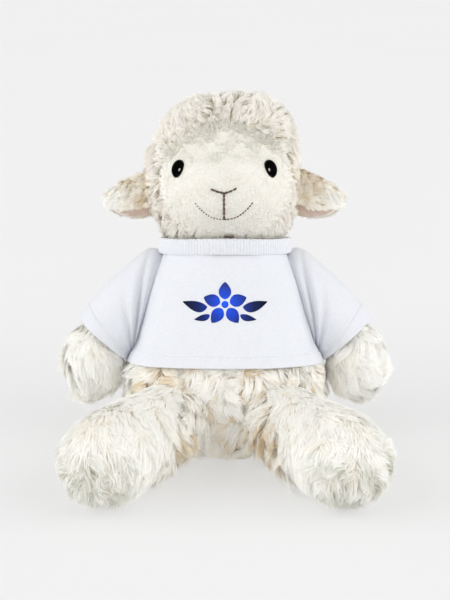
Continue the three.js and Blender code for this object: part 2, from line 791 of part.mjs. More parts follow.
const collarBottom = SHIRT.neckHeight + GAP;
const collarTop = collarBottom + COLLAR.height;
const collarInside = COLLAR.radius - COLLAR.wall;
const collarRound = COLLAR.wall / 4;
const shirtCollar = turned(
  [
    [collarInside, collarBottom],
    [COLLAR.radius, collarBottom],
    [COLLAR.radius, collarTop - collarRound],
    [COLLAR.radius - collarRound, collarTop],
    [collarInside + collarRound, collarTop],
    [collarInside, collarTop - collarRound],
    [collarInside, collarBottom],
  ],
  TORSO_SIDES,
);

// Build of the legs
const floor = box(roomSize, roomSize, roomSize, new THREE.Vector3(0, 0, -roomSize / 2));
const legOpening = (radius) => cylinder(radius, -LEG.length, LEG.length / 2);
const legShell = legSolid(0, LIMB_SIDES)
  .subtract(legSolid(-PILE_WALL, INNER_LIMB_SIDES))
  .subtract(legOpening(LEG.openingRadius));
const legSkin = legInHip(legShell).subtract(floor);
const legPlug = legOpening(LEG.openingRadius - GAP).intersect(legSolid(0, LIMB_SIDES));
const legCore = legSolid(-PILE_WALL - GAP, INNER_LIMB_SIDES).add(legPlug);
const legFilling = legInHip(legCore).subtract(floor.translate([0, 0, PILE_WALL + GAP]));

// The scene graph
const sheep = new THREE.Group();
const body = new THREE.Group();
body.rotation.x = -LEAN;
sheep.add(body);

function addPiece(group, name, solid, finish) {
  const material = new THREE.MeshStandardMaterial({ name: finish, ...FINISHES[finish] });
  const mesh = new THREE.Mesh(geometryFrom(solid), material);
  mesh.name = name;
  group.add(mesh);
}

addPiece(body, "torso_skin", torsoSkin, "wool");
addPiece(body, "torso_filling", torsoFilling, "filling");
addPiece(body, "pellet_pouch", pelletPouch, "pouch");
addPiece(body, "tail", moved(turned(tailOutline(0), DISC_SIDES), tailFrame(0)), "wool");
addPiece(body, "head_skin", headSkin, "wool");
addPiece(body, "face_panel", facePanel, "velour");
addPiece(body, "head_filling", headFilling, "filling");
addPiece(body, "eye_left", eyeLeft, "eye");
addPiece(body, "eye_right", mirrored(eyeLeft), "eye");
addPiece(body, "eye_washer_left", washerLeft, "washer");
addPiece(body, "eye_washer_right", mirrored(washerLeft), "washer");
addPiece(body, "nose_stitch", noseStitch, "thread");
addPiece(body, "mouth_stitch", mouthStitch, "thread");
addPiece(body, "shirt_front", shirtBand.intersect(halfSpace(-1)), "knit");
addPiece(body, "shirt_back", shirtBand.intersect(halfSpace(1)), "knit");
addPiece(body, "shirt_collar", shirtCollar, "knit");

for (const [side, sign] of [["left", 1], ["right", -1]]) {
  const onSide = (solid) => (sign > 0 ? solid : mirrored(solid));
  const shoulder = new THREE.Group();
  shoulder.position.set((sign * ARM.spacing) / 2, -ARM.forward, ARM.height);
  shoulder.rotation.y = -sign * ARM_TILT;
  body.add(shoulder);
  addPiece(shoulder, `arm_${side}_skin`, onSide(armSkinSolid()), "wool");
  addPiece(shoulder, `arm_${side}_filling`, onSide(armFillingSolid()), "filling");
  addPiece(shoulder, `sleeve_${side}`, onSide(sleeveSolid()), "knit");
  addPiece(body, `ear_${side}_outer`, onSide(earOuter()), "wool");
  addPiece(body, `ear_${side}_lining`, onSide(earLining()), "lining");
  addPiece(sheep, `leg_${side}_skin`, onSide(legSkin), "wool");
  addPiece(sheep, `leg_${side}_filling`, onSide(legFilling), "filling");
}

export default sheep;
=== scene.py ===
"""Dresses a plush sheep that sits in a white T-shirt.

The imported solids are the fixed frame. Each cover gets its backing and its pile, the face its short velour,
glossy eyes and stitches, and the shirt its jersey, seams, ribbed collar and chest print. Lengths are in
millimetres in the classes and in metres in Blender.
"""

import logging
import math
from dataclasses import dataclass, field
from enum import Enum
from functools import partial
from typing import Callable

import bpy
import numpy as np
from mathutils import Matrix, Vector


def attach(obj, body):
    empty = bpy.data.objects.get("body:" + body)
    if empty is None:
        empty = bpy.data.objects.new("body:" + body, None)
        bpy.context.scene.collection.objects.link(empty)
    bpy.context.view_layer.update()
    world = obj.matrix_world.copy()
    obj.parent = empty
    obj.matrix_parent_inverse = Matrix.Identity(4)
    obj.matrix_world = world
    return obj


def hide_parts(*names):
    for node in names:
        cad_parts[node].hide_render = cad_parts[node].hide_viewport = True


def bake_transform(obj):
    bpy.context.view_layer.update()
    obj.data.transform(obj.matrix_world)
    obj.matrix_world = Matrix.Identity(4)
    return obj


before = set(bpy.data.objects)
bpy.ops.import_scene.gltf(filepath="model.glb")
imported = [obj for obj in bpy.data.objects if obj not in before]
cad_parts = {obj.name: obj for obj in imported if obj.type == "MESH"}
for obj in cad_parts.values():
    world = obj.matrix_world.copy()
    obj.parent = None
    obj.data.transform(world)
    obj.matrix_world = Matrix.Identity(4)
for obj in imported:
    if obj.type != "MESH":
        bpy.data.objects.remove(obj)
log = logging.getLogger("sheep")

Array = np.ndarray
Object = bpy.types.Object
Socket = bpy.types.NodeSocket
Finishes = dict[str, bpy.types.Material]
grid = partial(np.meshgrid, indexing="ij")

MM = 0.001
TURN = 2 * math.pi
DOWN = np.array([0.0, 0.0, -1.0])
LEAN = math.radians(12)
LEAN_MATRIX = np.array([[1, 0, 0], [0, math.cos(LEAN), math.sin(LEAN)], [0, -math.sin(LEAN), math.cos(LEAN)]])
FLOOR_CLEARANCE = 0.35
HEM_HEIGHT = 47.5
ARM_TILT = math.radians(17)
ARM_LENGTH = 70
SHOULDER_X, SHOULDER_FORWARD, SHOULDER_HEIGHT = 45, 2, 83
TWIST_LENGTH = 26.0
ARMPIT_X, ARMPIT_HEIGHT = 57.0, 52.0
HIP_X, HIP_Y, HIP_HEIGHT = 28.0, -27.0, 24.5
EAR_PLACE = np.array([50.5, 1.0, 147.5])
TAIL_PLACE = np.array([0.0, 51.0, 36.5])
PRINT_MIDDLE = np.array([0.0, 83.5])
HAND_START, HAND_END = np.array([0.28, 0.0, -0.43]), np.array([0.3, 0.0, -0.95])

# Height, half width and half depth, as shares of the torso's.
TORSO_ROWS = np.array(
    [
        [-0.0043, 0.02, 0.02], [-0.0035, 0.42, 0.42], [0.002, 0.575, 0.575], [0.03, 0.72, 0.71],
        [0.075, 0.83, 0.82], [0.13, 0.915, 0.91], [0.19, 0.975, 0.97], [0.25, 1, 1],
        [0.333, 0.985, 0.99], [0.39, 0.962, 0.965], [0.416, 0.938, 0.945], [0.479, 0.915, 0.915],
        [0.562, 0.88, 0.87], [0.645, 0.835, 0.82], [0.739, 0.785, 0.775], [0.854, 0.71, 0.735],
        [0.937, 0.64, 0.705], [1, 0.585, 0.655], [1.036, 0.36, 0.4], [1.047, 0.02, 0.022],
    ]
)
# Radius and height, as shares of the head's.
HEAD_ROWS = np.array(
    [
        [0, 0], [0.36, 0.018], [0.57, 0.05], [0.71, 0.1], [0.795, 0.155], [0.875, 0.225], [0.95, 0.32],
        [0.993, 0.42], [1, 0.52], [0.985, 0.62], [0.925, 0.72], [0.81, 0.82], [0.65, 0.9], [0.425, 0.96],
        [0, 1],
    ]
)
# Place along, radius, and how far the front and the back flap reach, as shares.
EAR_ROWS = np.array(
    [
        [-0.5, 0.9, 0.8, 1], [0, 1, 0.86, 1.16], [0.35, 1.02, 0.74, 1.1],
        [0.7, 0.95, 0.6, 0.88], [0.9, 0.8, 0.5, 0.64], [1, 0.62, 0.32, 0.38],
    ]
)
# Top edge, bottom edge and half depth of a sleeve, of the hand below it and of the hand's closed end, as
# shares of ARM_LENGTH.
SLEEVE_ROWS = np.array(
    [
        [0, 0.425, 0, -0.42, 0.221],
        [0.127, 0.432, 0.006, -0.43, 0.245],
        [0.264, 0.25, 0.012, -0.45, 0.268],
        [0.424, -0.031, 0.018, -0.49, 0.265],
        [0.53, -0.319, 0.022, -0.545, 0.252],
    ]
)
HAND_ROWS = np.array(
    [
        [0.55, -0.425, 0.035, -0.6, 0.258],
        [0.575, -0.61, 0.02, -0.7, 0.264],
        [0.53, -0.79, 0.05, -0.81, 0.214],
        [0.415, -0.905, 0.15, -0.905, 0.124],
        [0.3, -0.945, 0.25, -0.945, 0.02],
    ]
)
WRIST_ROWS = np.array(
    [[0.29, -0.31, 0.27, -0.33, 0.01], [0.39, -0.24, 0.19, -0.43, 0.13], [0.46, -0.2, 0.11, -0.5, 0.2]]
)
# Radius and height above the neck of the collar's section, in millimetres.
COLLAR_ROWS = np.array(
    [
        [37.5, 0.2], [37.4, 4], [37.3, 7.2], [37.6, 8.7], [38.2, 9.2], [39.0, 8.8],
        [39.5, 7.7], [39.7, 5], [39.6, 1.2], [39.2, 0.1], [38.3, -0.4], [37.5, 0.2],
    ]
)
# Share of the leg's radius and length, and the same of the tail's.
LEG_SHARES = (
    (0.955, 0.14), (0.975, 0.36), (0.99, 0.56), (1, 0.76), (1, 0.94), (0.93, 1.09), (0.75, 1.195),
    (0.42, 1.26), (0, 1.275),
)
TAIL_SHARES = ((0.9, 0.18), (1, 0.42), (0.92, 0.68), (0.6, 0.9), (0, 1))
# Places across and up on the face, in millimetres.
NOSE_PATH = ((-8.0, 42.4), (-5.0, 41.2), (-2.2, 40.4), (-0.6, 40.1), (1.0, 40.3), (3.7, 41.4), (6.6, 42.9))
LIP_PATH = ((-0.5, 40.2), (-0.6, 35.0), (-0.5, 30.0), (-0.5, 25.2))
CHIN_PATH = ((0.0, 15.9), (2.3, 15.5), (4.8, 15.7))
# How much tufts, locks and strands vary, how far a strand tapers, and how far its shading follows the cover's.
TUFT_SIZES, TUFT_TURN, LOCK_SIZES, LOCK_RISES, STEEPEST = (0.8, 1.2), 0.35, (0.88, 1.12), (0.8, 1.1), 0.9
STRAND_REACH, STRAND_WIDTHS, TAPER, SHADE_SPREAD, COVER_SHADING = (0.6, 1.06), (0.75, 1.2), 0.7, 0.09, 2.2
# What the pile of the belly and of the thighs beside it share.
SHAGGY = dict(width=0.5, curl=0.7, tuft=11.5, tuft_pull=0.5, tuft_curl=2.6, turns=0.62, stray=0.65)


class Side(Enum):
    """The toy's own left and right; the value is the sign of X."""

    LEFT = 1
    RIGHT = -1

    @property
    def word(self) -> str:
        """The side's name as the nodes write it."""
        return self.name.lower()


# ---- Numbers and curves ----


def linear(hex_value: str) -> tuple[float, ...]:
    """Turns six hex digits of sRGB into Blender's linear colour with an alpha of 1."""
    parts = [int(hex_value[i : i + 2], 16) / 255 for i in (0, 2, 4)]
    flat = [c / 12.92 if c <= 0.04045 else ((c + 0.055) / 1.055) ** 2.4 for c in parts]
    return (*flat, 1.0)


def ease(value: Array, low: float, high: float) -> Array:
    """Smooth step: 0 below low, 1 above high, 3t^2 - 2t^3 between them."""
    t = np.clip((value - low) / (high - low), 0, 1)
    return t * t * (3 - 2 * t)


def smooth_rows(rows: Array, place: Array) -> Array:
    """Reads rows of numbers as one smooth curve.

    The value between rows i and i+1 is the cubic whose slopes at both ends are half the step across them.

    Args:
        rows: One row of values for each station.
        place: Places along the rows, from 0 to 1.

    Returns:
        The values, with the rows' columns as last axis.
    """
    last = len(rows) - 1
    at = np.clip(place * last, 0, last - 1e-9)
    i = np.floor(at).astype(int)
    t = (at - i)[..., None]
    before, start, end, after = (rows[np.clip(i + k, 0, last)] for k in (-1, 0, 1, 2))
    slope_in, slope_out, rise = (end - before) / 2, (after - start) / 2, end - start
    bend, twist = 3 * rise - 2 * slope_in - slope_out, slope_in + slope_out - 2 * rise
    return start + t * (slope_in + t * (bend + t * twist))


def unit(vectors: Array) -> Array:
    """Vectors scaled to length 1."""
    return vectors / np.maximum(np.linalg.norm(vectors, axis=-1, keepdims=True), 1e-9)


def flat_on(vectors: Array, normals: Array) -> Array:
    """The part of each vector that lies square to its normal."""
    return vectors - (vectors * normals).sum(-1, keepdims=True) * normals


def round_turn(count: int) -> Array:
    """Angles once round, in radians."""
    return TURN * np.arange(count) / count


def ripple(points: Array, size: float, seed: int) -> Array:
    """Smooth noise of about -1 to 1: the mean of sines with wavelengths near size and random directions.

    Args:
        points: Places in millimetres.
        size: Typical distance between two bumps.
        seed: Seed of the directions.

    Returns:
        One value for each point.
    """
    rng, waves = np.random.default_rng(seed), 7
    ways = unit(rng.normal(size=(waves, 3))) * (TURN / size) * rng.uniform(0.7, 1.4, (waves, 1))
    phases = rng.uniform(0, TURN, waves)
    return np.sin(points @ ways.T + phases).sum(-1) / math.sqrt(waves)


def lean(points: Array) -> Array:
    """Turns points of the leaning body's frame into the toy's frame, by 12 degrees about X."""
    return points @ LEAN_MATRIX.T


def unlean(points: Array) -> Array:
    """The inverse of lean."""
    return points @ LEAN_MATRIX


def above_floor(points: Array, grow: float | Array) -> Array:
    """Lifts points that are below the floor; an inner layer stays above an outer one."""
    points[..., 2] = np.maximum(points[..., 2], FLOOR_CLEARANCE + np.maximum(-np.asarray(grow), 0) * 0.3)
    return points


def offset_outline(fine: Array, v: Array, grow: float | Array) -> tuple[Array, Array]:
    """Radius and place along the axis at v of a tabulated outline, moved square to itself by grow."""
    steps = np.linspace(0, 1, len(fine))
    radius, along = (np.interp(v, steps, fine[:, i]) for i in (0, 1))
    slope_r, slope_z = (np.interp(v, steps, np.gradient(fine[:, i])) for i in (0, 1))
    size = np.hypot(slope_r, slope_z) + 1e-9
    return np.maximum(radius + grow * slope_z / size, 0.01), along - grow * slope_r / size


def one_a_cell(points: Array, size: float) -> Array:
    """Index of one point in each cell of a grid in space."""
    cells = np.floor(points / size).astype(np.int64)
    keys = (cells[:, 0] * 4099 + cells[:, 1]) * 4099 + cells[:, 2]
    return np.unique(keys, return_index=True)[1]


# ---- Forms: each is a function of two parameters ----


@dataclass
class Form:
    """A surface in the toy's frame, with parameters from 0 to 1; outward is -1 where du x dv points in."""

    outward = 1.0

    def point(self, u: Array, v: Array, grow: float | Array = 0.0) -> Array:
        """The surface's points, moved outwards by grow.

        Args:
            u: Place around the form.
            v: Place along the form.
            grow: Distance outwards in millimetres.

        Returns:
            Points in millimetres.
        """
        raise NotImplementedError

    def cross(self, u: Array, v: Array, grow: float | Array = 0.0) -> Array:
        """The cross product of small steps along u and v."""
        e = 1e-3
        du = self.point(u + e, v, grow) - self.point(u - e, v, grow)
        dv = self.point(u, np.clip(v + e, 0, 1), grow) - self.point(u, np.clip(v - e, 0, 1), grow)
        return np.cross(du, dv)

    def normal(self, u: Array, v: Array, grow: float | Array = 0.0) -> Array:
        """Unit normals that point away from the form's core."""
        return unit(self.cross(u, v, grow)) * self.outward

    def roots(self, spacing: float, grow: float, seed: int) -> tuple[Array, Array, Array, Array]:
        """Scatters places evenly by area, and keeps one in each cell of a grid in space.

        Args:
            spacing: Distance between neighbours in millimetres.
            grow: Offset of the surface that they lie on.
            seed: Seed of the places.

        Returns:
            u, v, points and normals.
        """
        rng, count = np.random.default_rng(seed), 60000
        u, v = rng.uniform(0, 1, count), rng.uniform(0.002, 0.998, count)
        area = np.linalg.norm(self.cross(u, v, grow), axis=-1)
        keep = rng.uniform(0, 1, count) < area / np.percentile(area, 99)
        u, v = u[keep], v[keep]
        points = self.point(u, v, grow)
        first = one_a_cell(points, spacing)
        u, v, points = u[first], v[first], points[first]
        return u, v, points, self.normal(u, v, grow)


@dataclass
class Torso(Form):
    """The body: stacked rounded sections up a leaning spine."""

    height: float = 117
    half_width: float = 58
    half_depth: float = 52

    def __post_init__(self) -> None:
        """Tabulates the smooth outline once."""
        self.fine = smooth_rows(TORSO_ROWS, np.linspace(0, 1, 600))

    def section(self, up: Array) -> tuple[Array, Array, Array]:
        """Half width, half depth and superellipse power at a share of the height."""
        wide, deep = (np.interp(up, self.fine[:, 0], self.fine[:, i]) for i in (1, 2))
        return wide * self.half_width, deep * self.half_depth, 2.5 - 0.5 * ease(up, 0.78, 0.94)

    def at(self, angle: Array, up: Array, grow: float | Array = 0.0) -> Array:
        """A point of the body's own frame: x = |cos a|^(2/p) w and y = |sin a|^(2/p) d, with their signs.

        Towards the seat each section tips by up to the lean, so that the lowest one is level with the floor.
        """
        wide, deep, power = self.section(up)
        c, s = np.cos(angle), np.sin(angle)
        x = np.sign(c) * np.abs(c) ** (2 / power) * (wide + grow)
        y = np.sign(s) * np.abs(s) ** (2 / power) * (deep + grow)
        return np.stack([x, y, up * self.height + self.tip(up) * y], -1)

    def tip(self, up: Array) -> Array:
        """Rise of a section for each millimetre to the back: tan of the lean at the seat, and 0 above 0.3."""
        return math.tan(LEAN) * (1 - ease(up, 0, 0.3))

    def point(self, u: Array, v: Array, grow: float | Array = 0.0) -> Array:
        """See Form.point; v follows the outline from the seat to the neck."""
        up = np.interp(v, np.linspace(0, 1, len(self.fine)), self.fine[:, 0])
        return above_floor(lean(self.at(TURN * u, up, grow)), grow)

    def depth_inside(self, points: Array) -> Array:
        """How far points of the toy's frame lie inside the body, in millimetres; negative outside."""
        own = unlean(points)
        up = own[..., 2] / self.height
        for _ in range(4):
            up = (own[..., 2] - self.tip(up) * own[..., 1]) / self.height
        wide, deep, power = self.section(up)
        reach = (np.abs(own[..., 0]) / wide) ** power + (np.abs(own[..., 1]) / deep) ** power
        return (1 - np.maximum(reach, 1e-9) ** (1 / power)) * np.minimum(wide, deep)


@dataclass
class Head(Form):
    """The head: a turned outline about the spine, with the muzzle pushed forward."""

    base: float = 106.5
    height: float = 101
    radius: float = 47
    muzzle_reach: float = 9
    muzzle_half_width: float = 36
    muzzle_half_height: float = 25
    muzzle_height: float = 40.5
    face_half_width: float = 36.6
    face_half_height: float = 31.7
    face_height: float = 46.3

    def __post_init__(self) -> None:
        """Tabulates the smooth outline once, in millimetres."""
        self.fine = smooth_rows(HEAD_ROWS, np.linspace(0, 1, 600)) * [self.radius, self.height]

    def muzzle(self, x: Array, up: Array) -> Array:
        """How far the muzzle pushes forward: reach times 3t^2 - 2t^3 with t = 1 - (x/w)^2 - (z/h)^2."""
        across, rise = x / self.muzzle_half_width, (up - self.muzzle_height) / self.muzzle_half_height
        return self.muzzle_reach * ease(1 - across**2 - rise**2, 0, 1)

    def point(self, u: Array, v: Array, grow: float | Array = 0.0) -> Array:
        """See Form.point; v follows the outline from neck to crown, and the muzzle is added in front."""
        radius, up = offset_outline(self.fine, v, grow)
        x, y = radius * np.cos(TURN * u), radius * np.sin(TURN * u)
        y = y - ease(-y, 0, self.radius / 2) * self.muzzle(x, up)
        return lean(np.stack([x, y, up + self.base + 0 * x], -1))

    def front(self, x: Array, up: Array, grow: float | Array = 0.0) -> Array:
        """The front of the head straight behind a place of the face.

        Args:
            x: Place across, in millimetres.
            up: Height above the head's base.
            grow: Offset outwards.

        Returns:
            Points of the toy's frame.
        """
        outline_up, keep = np.unique(self.fine[:, 1], return_index=True)
        radius = np.interp(up, outline_up, self.fine[keep, 0]) + grow
        y = -np.sqrt(np.maximum(radius**2 - x**2, 0)) - self.muzzle(x, up)
        return lean(np.stack([x, y, up + self.base + 0 * x], -1))

    def front_normal(self, x: Array, up: Array) -> Array:
        """Unit normals of the front."""
        e = 0.3
        across = self.front(x + e, up) - self.front(x - e, up)
        return unit(np.cross(across, self.front(x, up + e) - self.front(x, up - e)))

    def on_face(self, r: Array, angle: Array) -> tuple[Array, Array]:
        """Place across and up at a share r of the way from the face's middle to its edge."""
        x = r * np.cos(angle) * self.face_half_width
        return x, self.face_height + r * np.sin(angle) * self.face_half_height

    def face_share(self, points: Array) -> Array:
        """0 in the middle of the face panel, 1 on its edge, and more outside it or behind it."""
        own = unlean(points)
        share = (own[..., 0] / self.face_half_width) ** 2
        share = np.sqrt(share + ((own[..., 2] - self.base - self.face_height) / self.face_half_height) ** 2)
        return np.where(own[..., 1] < 0, share, 9.0)


@dataclass
class Limb(Form):
    """A sleeve or an arm: oval sections between a top edge and a bottom edge in the shoulder's frame."""

    side: Side
    rows: Array
    fold: Callable[[Array, Array], Array] | None = None

    def __post_init__(self) -> None:
        """Sets which way du x dv points."""
        self.outward = -float(self.side.value)

    def place(self, own: Array) -> Array:
        """Shoulder frame to the toy's frame."""
        c, s = math.cos(ARM_TILT), math.sin(ARM_TILT)
        x = own[..., 0] * c - own[..., 2] * s + SHOULDER_X
        z = own[..., 0] * s + own[..., 2] * c + SHOULDER_HEIGHT
        return lean(np.stack([x * self.side.value, own[..., 1] - SHOULDER_FORWARD, z], -1))

    def armhole(self) -> tuple[Vector, Vector]:
        """Two points on the arm's axis, at the armhole and TWIST_LENGTH out from it, in metres."""
        ends = self.place(np.array([[0.0, 0.0, 0.0], [TWIST_LENGTH, 0.0, 0.0]])) * MM
        return Vector(ends[0]), Vector(ends[1])

    def point(self, u: Array, v: Array, grow: float | Array = 0.0) -> Array:
        """See Form.point; u starts at the top edge and v at the armhole."""
        row = smooth_rows(self.rows, v) * ARM_LENGTH
        top, bottom = (np.stack([row[..., i], 0 * v, row[..., i + 1]], -1) for i in (0, 2))
        middle, up = (top + bottom) / 2, (top - bottom) / 2
        extra = grow + (self.fold(u, v) if self.fold else 0.0)
        tall = np.maximum(np.linalg.norm(up, axis=-1) + extra, 0.05) * np.cos(TURN * u)
        deep = np.maximum(row[..., 4] + extra, 0.05) * np.sin(TURN * u)
        return self.place(middle + unit(up) * tall[..., None] + np.stack([0 * deep, deep, 0 * deep], -1))


@dataclass
class Turned(Form):
    """A body of revolution: rows of radius and place along an axis."""

    origin: Array
    axis: Array
    rows: Array

    def __post_init__(self) -> None:
        """Works out two directions square to the axis and tabulates the outline."""
        self.axis = unit(self.axis)
        self.side_way = unit(np.cross([0.0, 0.0, 1.0], self.axis))
        self.up_way = np.cross(self.axis, self.side_way)
        self.fine = smooth_rows(self.rows, np.linspace(0, 1, 400))

    def point(self, u: Array, v: Array, grow: float | Array = 0.0) -> Array:
        """See Form.point: origin + along axis + r (cos a side + sin a up)."""
        radius, along = offset_outline(self.fine, v, grow)
        around = np.cos(TURN * u)[..., None] * self.side_way + np.sin(TURN * u)[..., None] * self.up_way
        return above_floor(self.origin + along[..., None] * self.axis + radius[..., None] * around, grow)

    def along(self, points: Array) -> tuple[Array, Array]:
        """Places along the axis, and the vectors from the axis to the points."""
        own = points - self.origin
        along = own @ self.axis
        return along, own - along[..., None] * self.axis

    def depth_inside(self, points: Array) -> Array:
        """How far points lie inside, measured from the axis; negative outside."""
        along, off = self.along(points)
        order = np.argsort(self.fine[:, 1])
        radius = np.interp(along, self.fine[order, 1], self.fine[order, 0], left=0, right=0)
        return radius - np.linalg.norm(off, axis=-1)


@dataclass
class Ear(Form):
    """A leaf folded along its top edge; u runs down the front flap, over the fold and down the back flap."""

    side: Side
    length: float = 22.5
    flap: float = 18
    fold: float = 5
    droop: float = math.radians(27)
    lift: float = 0.36
    flap_share: float = 0.36

    def __post_init__(self) -> None:
        """Sets which way du x dv points."""
        self.outward = -float(self.side.value)

    def point(self, u: Array, v: Array, grow: float | Array = 0.0) -> Array:
        """See Form.point: a half round on top, and flaps that spread as their depth squared."""
        row = smooth_rows(EAR_ROWS, v)
        radius = row[..., 1] * self.fold + grow
        share = self.flap_share
        front, back = np.clip((share - u) / share, 0, 1), np.clip((u - 1 + share) / share, 0, 1)
        angle = math.pi * (1 - np.clip((u - share) / (1 - 2 * share), 0, 1))
        y = radius * np.cos(angle) - row[..., 2] * front**2 * self.fold + row[..., 3] * back**2 * self.fold
        z = radius * np.sin(angle) - row[..., 2] * front * self.flap - row[..., 3] * back * self.flap
        x, z = row[..., 0] * (self.length + grow), z + self.lift * self.flap
        c, s = math.cos(self.droop), math.sin(self.droop)
        own = np.stack([x * c + z * s, y + 0 * x, -x * s + z * c], -1) + EAR_PLACE
        return lean(own * [self.side.value, 1, 1])


def ball_rows(radius: float, levels: tuple[float, ...]) -> list[list[float]]:
    """Rows of a half ball, from its pole at -1 to its widest ring at 0."""
    return [[radius * math.sqrt(1 - s * s), radius * s] for s in levels]


def leg_form(side: Side) -> Turned:
    """The leg: a ball at the hip and an even thigh that ends in a round foot, 26 degrees out to its side."""
    foot_height, length, radius, fuller = 26.8, 82, 24, 1.8
    splay, rise = math.radians(26), math.asin((foot_height - HIP_HEIGHT) / length)
    way = [side.value * math.cos(rise) * math.sin(splay), -math.cos(rise) * math.cos(splay), math.sin(rise)]
    thigh = [[r * (radius + fuller * ease(a, 0.3, 0.9)), a * length] for r, a in LEG_SHARES]
    rows = np.array(ball_rows(23, (-1, -0.92, -0.72, -0.42, 0)) + thigh)
    return Turned(np.array([side.value * HIP_X, HIP_Y, HIP_HEIGHT]), np.array(way), rows)


def tail_form() -> Turned:
    """The tail: a root ball and a drop that points back and down."""
    droop, radius, length = math.radians(30), 9.5, 26
    rows = np.array(ball_rows(7.5, (-1, -0.72, 0)) + [[r * radius, a * length] for r, a in TAIL_SHARES])
    way = np.array([0.0, math.cos(droop), -math.sin(droop)])
    return Turned(lean(TAIL_PLACE), lean(way), rows)


# ---- Meshes ----


def make_object(
    name: str,
    points: Array,
    faces: Array,
    uv: Array | None = None,
    uv_name: str = "Weave",
    closed: bool = True,
) -> Object:
    """Puts arrays into a new mesh object at the origin.

    Args:
        name: The object's name.
        points: Vertices in millimetres, in any layout with the coordinates last.
        faces: Vertex indices, three or four to a face.
        uv: One pair for each vertex.
        uv_name: Name of the UV map.
        closed: Whether the mesh is closed, so that its faces can be turned outwards.

    Returns:
        The object, linked to the scene.
    """
    points = points.reshape(-1, 3)
    mesh = bpy.data.meshes.new(name)
    mesh.vertices.add(len(points))
    mesh.vertices.foreach_set("co", (points * MM).astype(np.float32).ravel())
    mesh.loops.add(faces.size)
    mesh.loops.foreach_set("vertex_index", faces.astype(np.int32).ravel())
    mesh.polygons.add(len(faces))
    mesh.polygons.foreach_set("loop_start", np.arange(0, faces.size, faces.shape[1], dtype=np.int32))
    mesh.polygons.foreach_set("use_smooth", np.ones(len(faces), dtype=bool))
    if uv is not None:
        layer = mesh.uv_layers.new(name=uv_name)
        layer.data.foreach_set("uv", uv.reshape(-1, 2)[faces.ravel()].astype(np.float32).ravel())
    mesh.update(calc_edges=True)
    mesh.validate()
    obj = bpy.data.objects.new(name, mesh)
    bpy.context.scene.collection.objects.link(obj)
    if closed:
        face_outwards(mesh)
    return obj


def face_outwards(mesh: bpy.types.Mesh) -> None:
    """Flips a closed mesh whose signed volume is negative."""
    co = np.zeros(len(mesh.vertices) * 3)
    mesh.vertices.foreach_get("co", co)
    mesh.calc_loop_triangles()
    tri = np.zeros(len(mesh.loop_triangles) * 3, dtype=np.int32)
    mesh.loop_triangles.foreach_get("vertices", tri)
    a, b, c = (co.reshape(-1, 3)[tri.reshape(-1, 3)[:, i]] for i in range(3))
    if (np.cross(a, b) * c).sum() < 0:
        mesh.flip_normals()


def grid_faces(rows: int, columns: int, wrap_rows: bool = False) -> Array:
    """Quads of rows x columns vertices; each row is a closed ring, and the rows join up where asked."""
    i, j = grid(np.arange(rows - (not wrap_rows)), np.arange(columns))
    this, after, j2 = i * columns, (i + 1) % rows * columns, (j + 1) % columns
    return np.stack([this + j, this + j2, after + j2, after + j], -1).reshape(-1, 4)


def triangles(quads: Array) -> Array:
    """Each quad as two triangles."""
    return np.concatenate([quads[:, [0, 1, 2]], quads[:, [0, 2, 3]]])


def fan(hub: int, ring: Array) -> Array:
    """Triangles between a hub and a closed ring of vertices."""
    return np.stack([0 * ring + hub, np.roll(ring, -1), ring], -1)


def slab_faces(rows: int, columns: int) -> Array:
    """Quads of a flattened tube whose rows run round it, closed by flat ends."""
    k = np.arange(columns // 2 - 1)
    cap = np.stack([k, k + 1, columns - 2 - k, columns - 1 - k], -1)
    return np.concatenate([grid_faces(rows, columns), cap[:, ::-1], cap + (rows - 1) * columns])


def band_object(name: str, points: Array, uv: Array) -> Object:
    """A band of cloth from a grid of points that joins up both ways."""
    return make_object(name, points, grid_faces(*points.shape[:2], wrap_rows=True), uv)


def form_object(
    name: str, form: Form, grow: float | Array, around: int, along: int, low: float = 0.0, high: float = 1.0
) -> Object:
    """A closed tube or ball over a form, with its ends drawn to a point.

    Args:
        name: The object's name.
        form: The surface.
        grow: Offset outwards.
        around: Vertices around.
        along: Rows along.
        low: Where it starts along the form.
        high: Where it ends.

    Returns:
        The object.
    """
    vv, uu = grid(np.linspace(low, high, along), np.arange(around) / around)
    points = form.point(uu, vv, grow)
    flat = np.concatenate([points.reshape(-1, 3), [points[0].mean(0), points[-1].mean(0)]])
    ring, hub = np.arange(around), along * around
    caps = [fan(hub, ring), fan(hub + 1, ring + (along - 1) * around)[:, [0, 2, 1]]]
    uv = np.concatenate([np.stack([uu, vv], -1).reshape(-1, 2), [[0.5, 0.0], [0.5, 1.0]]])
    return make_object(name, flat, np.concatenate([triangles(grid_faces(along, around)), *caps]), uv)


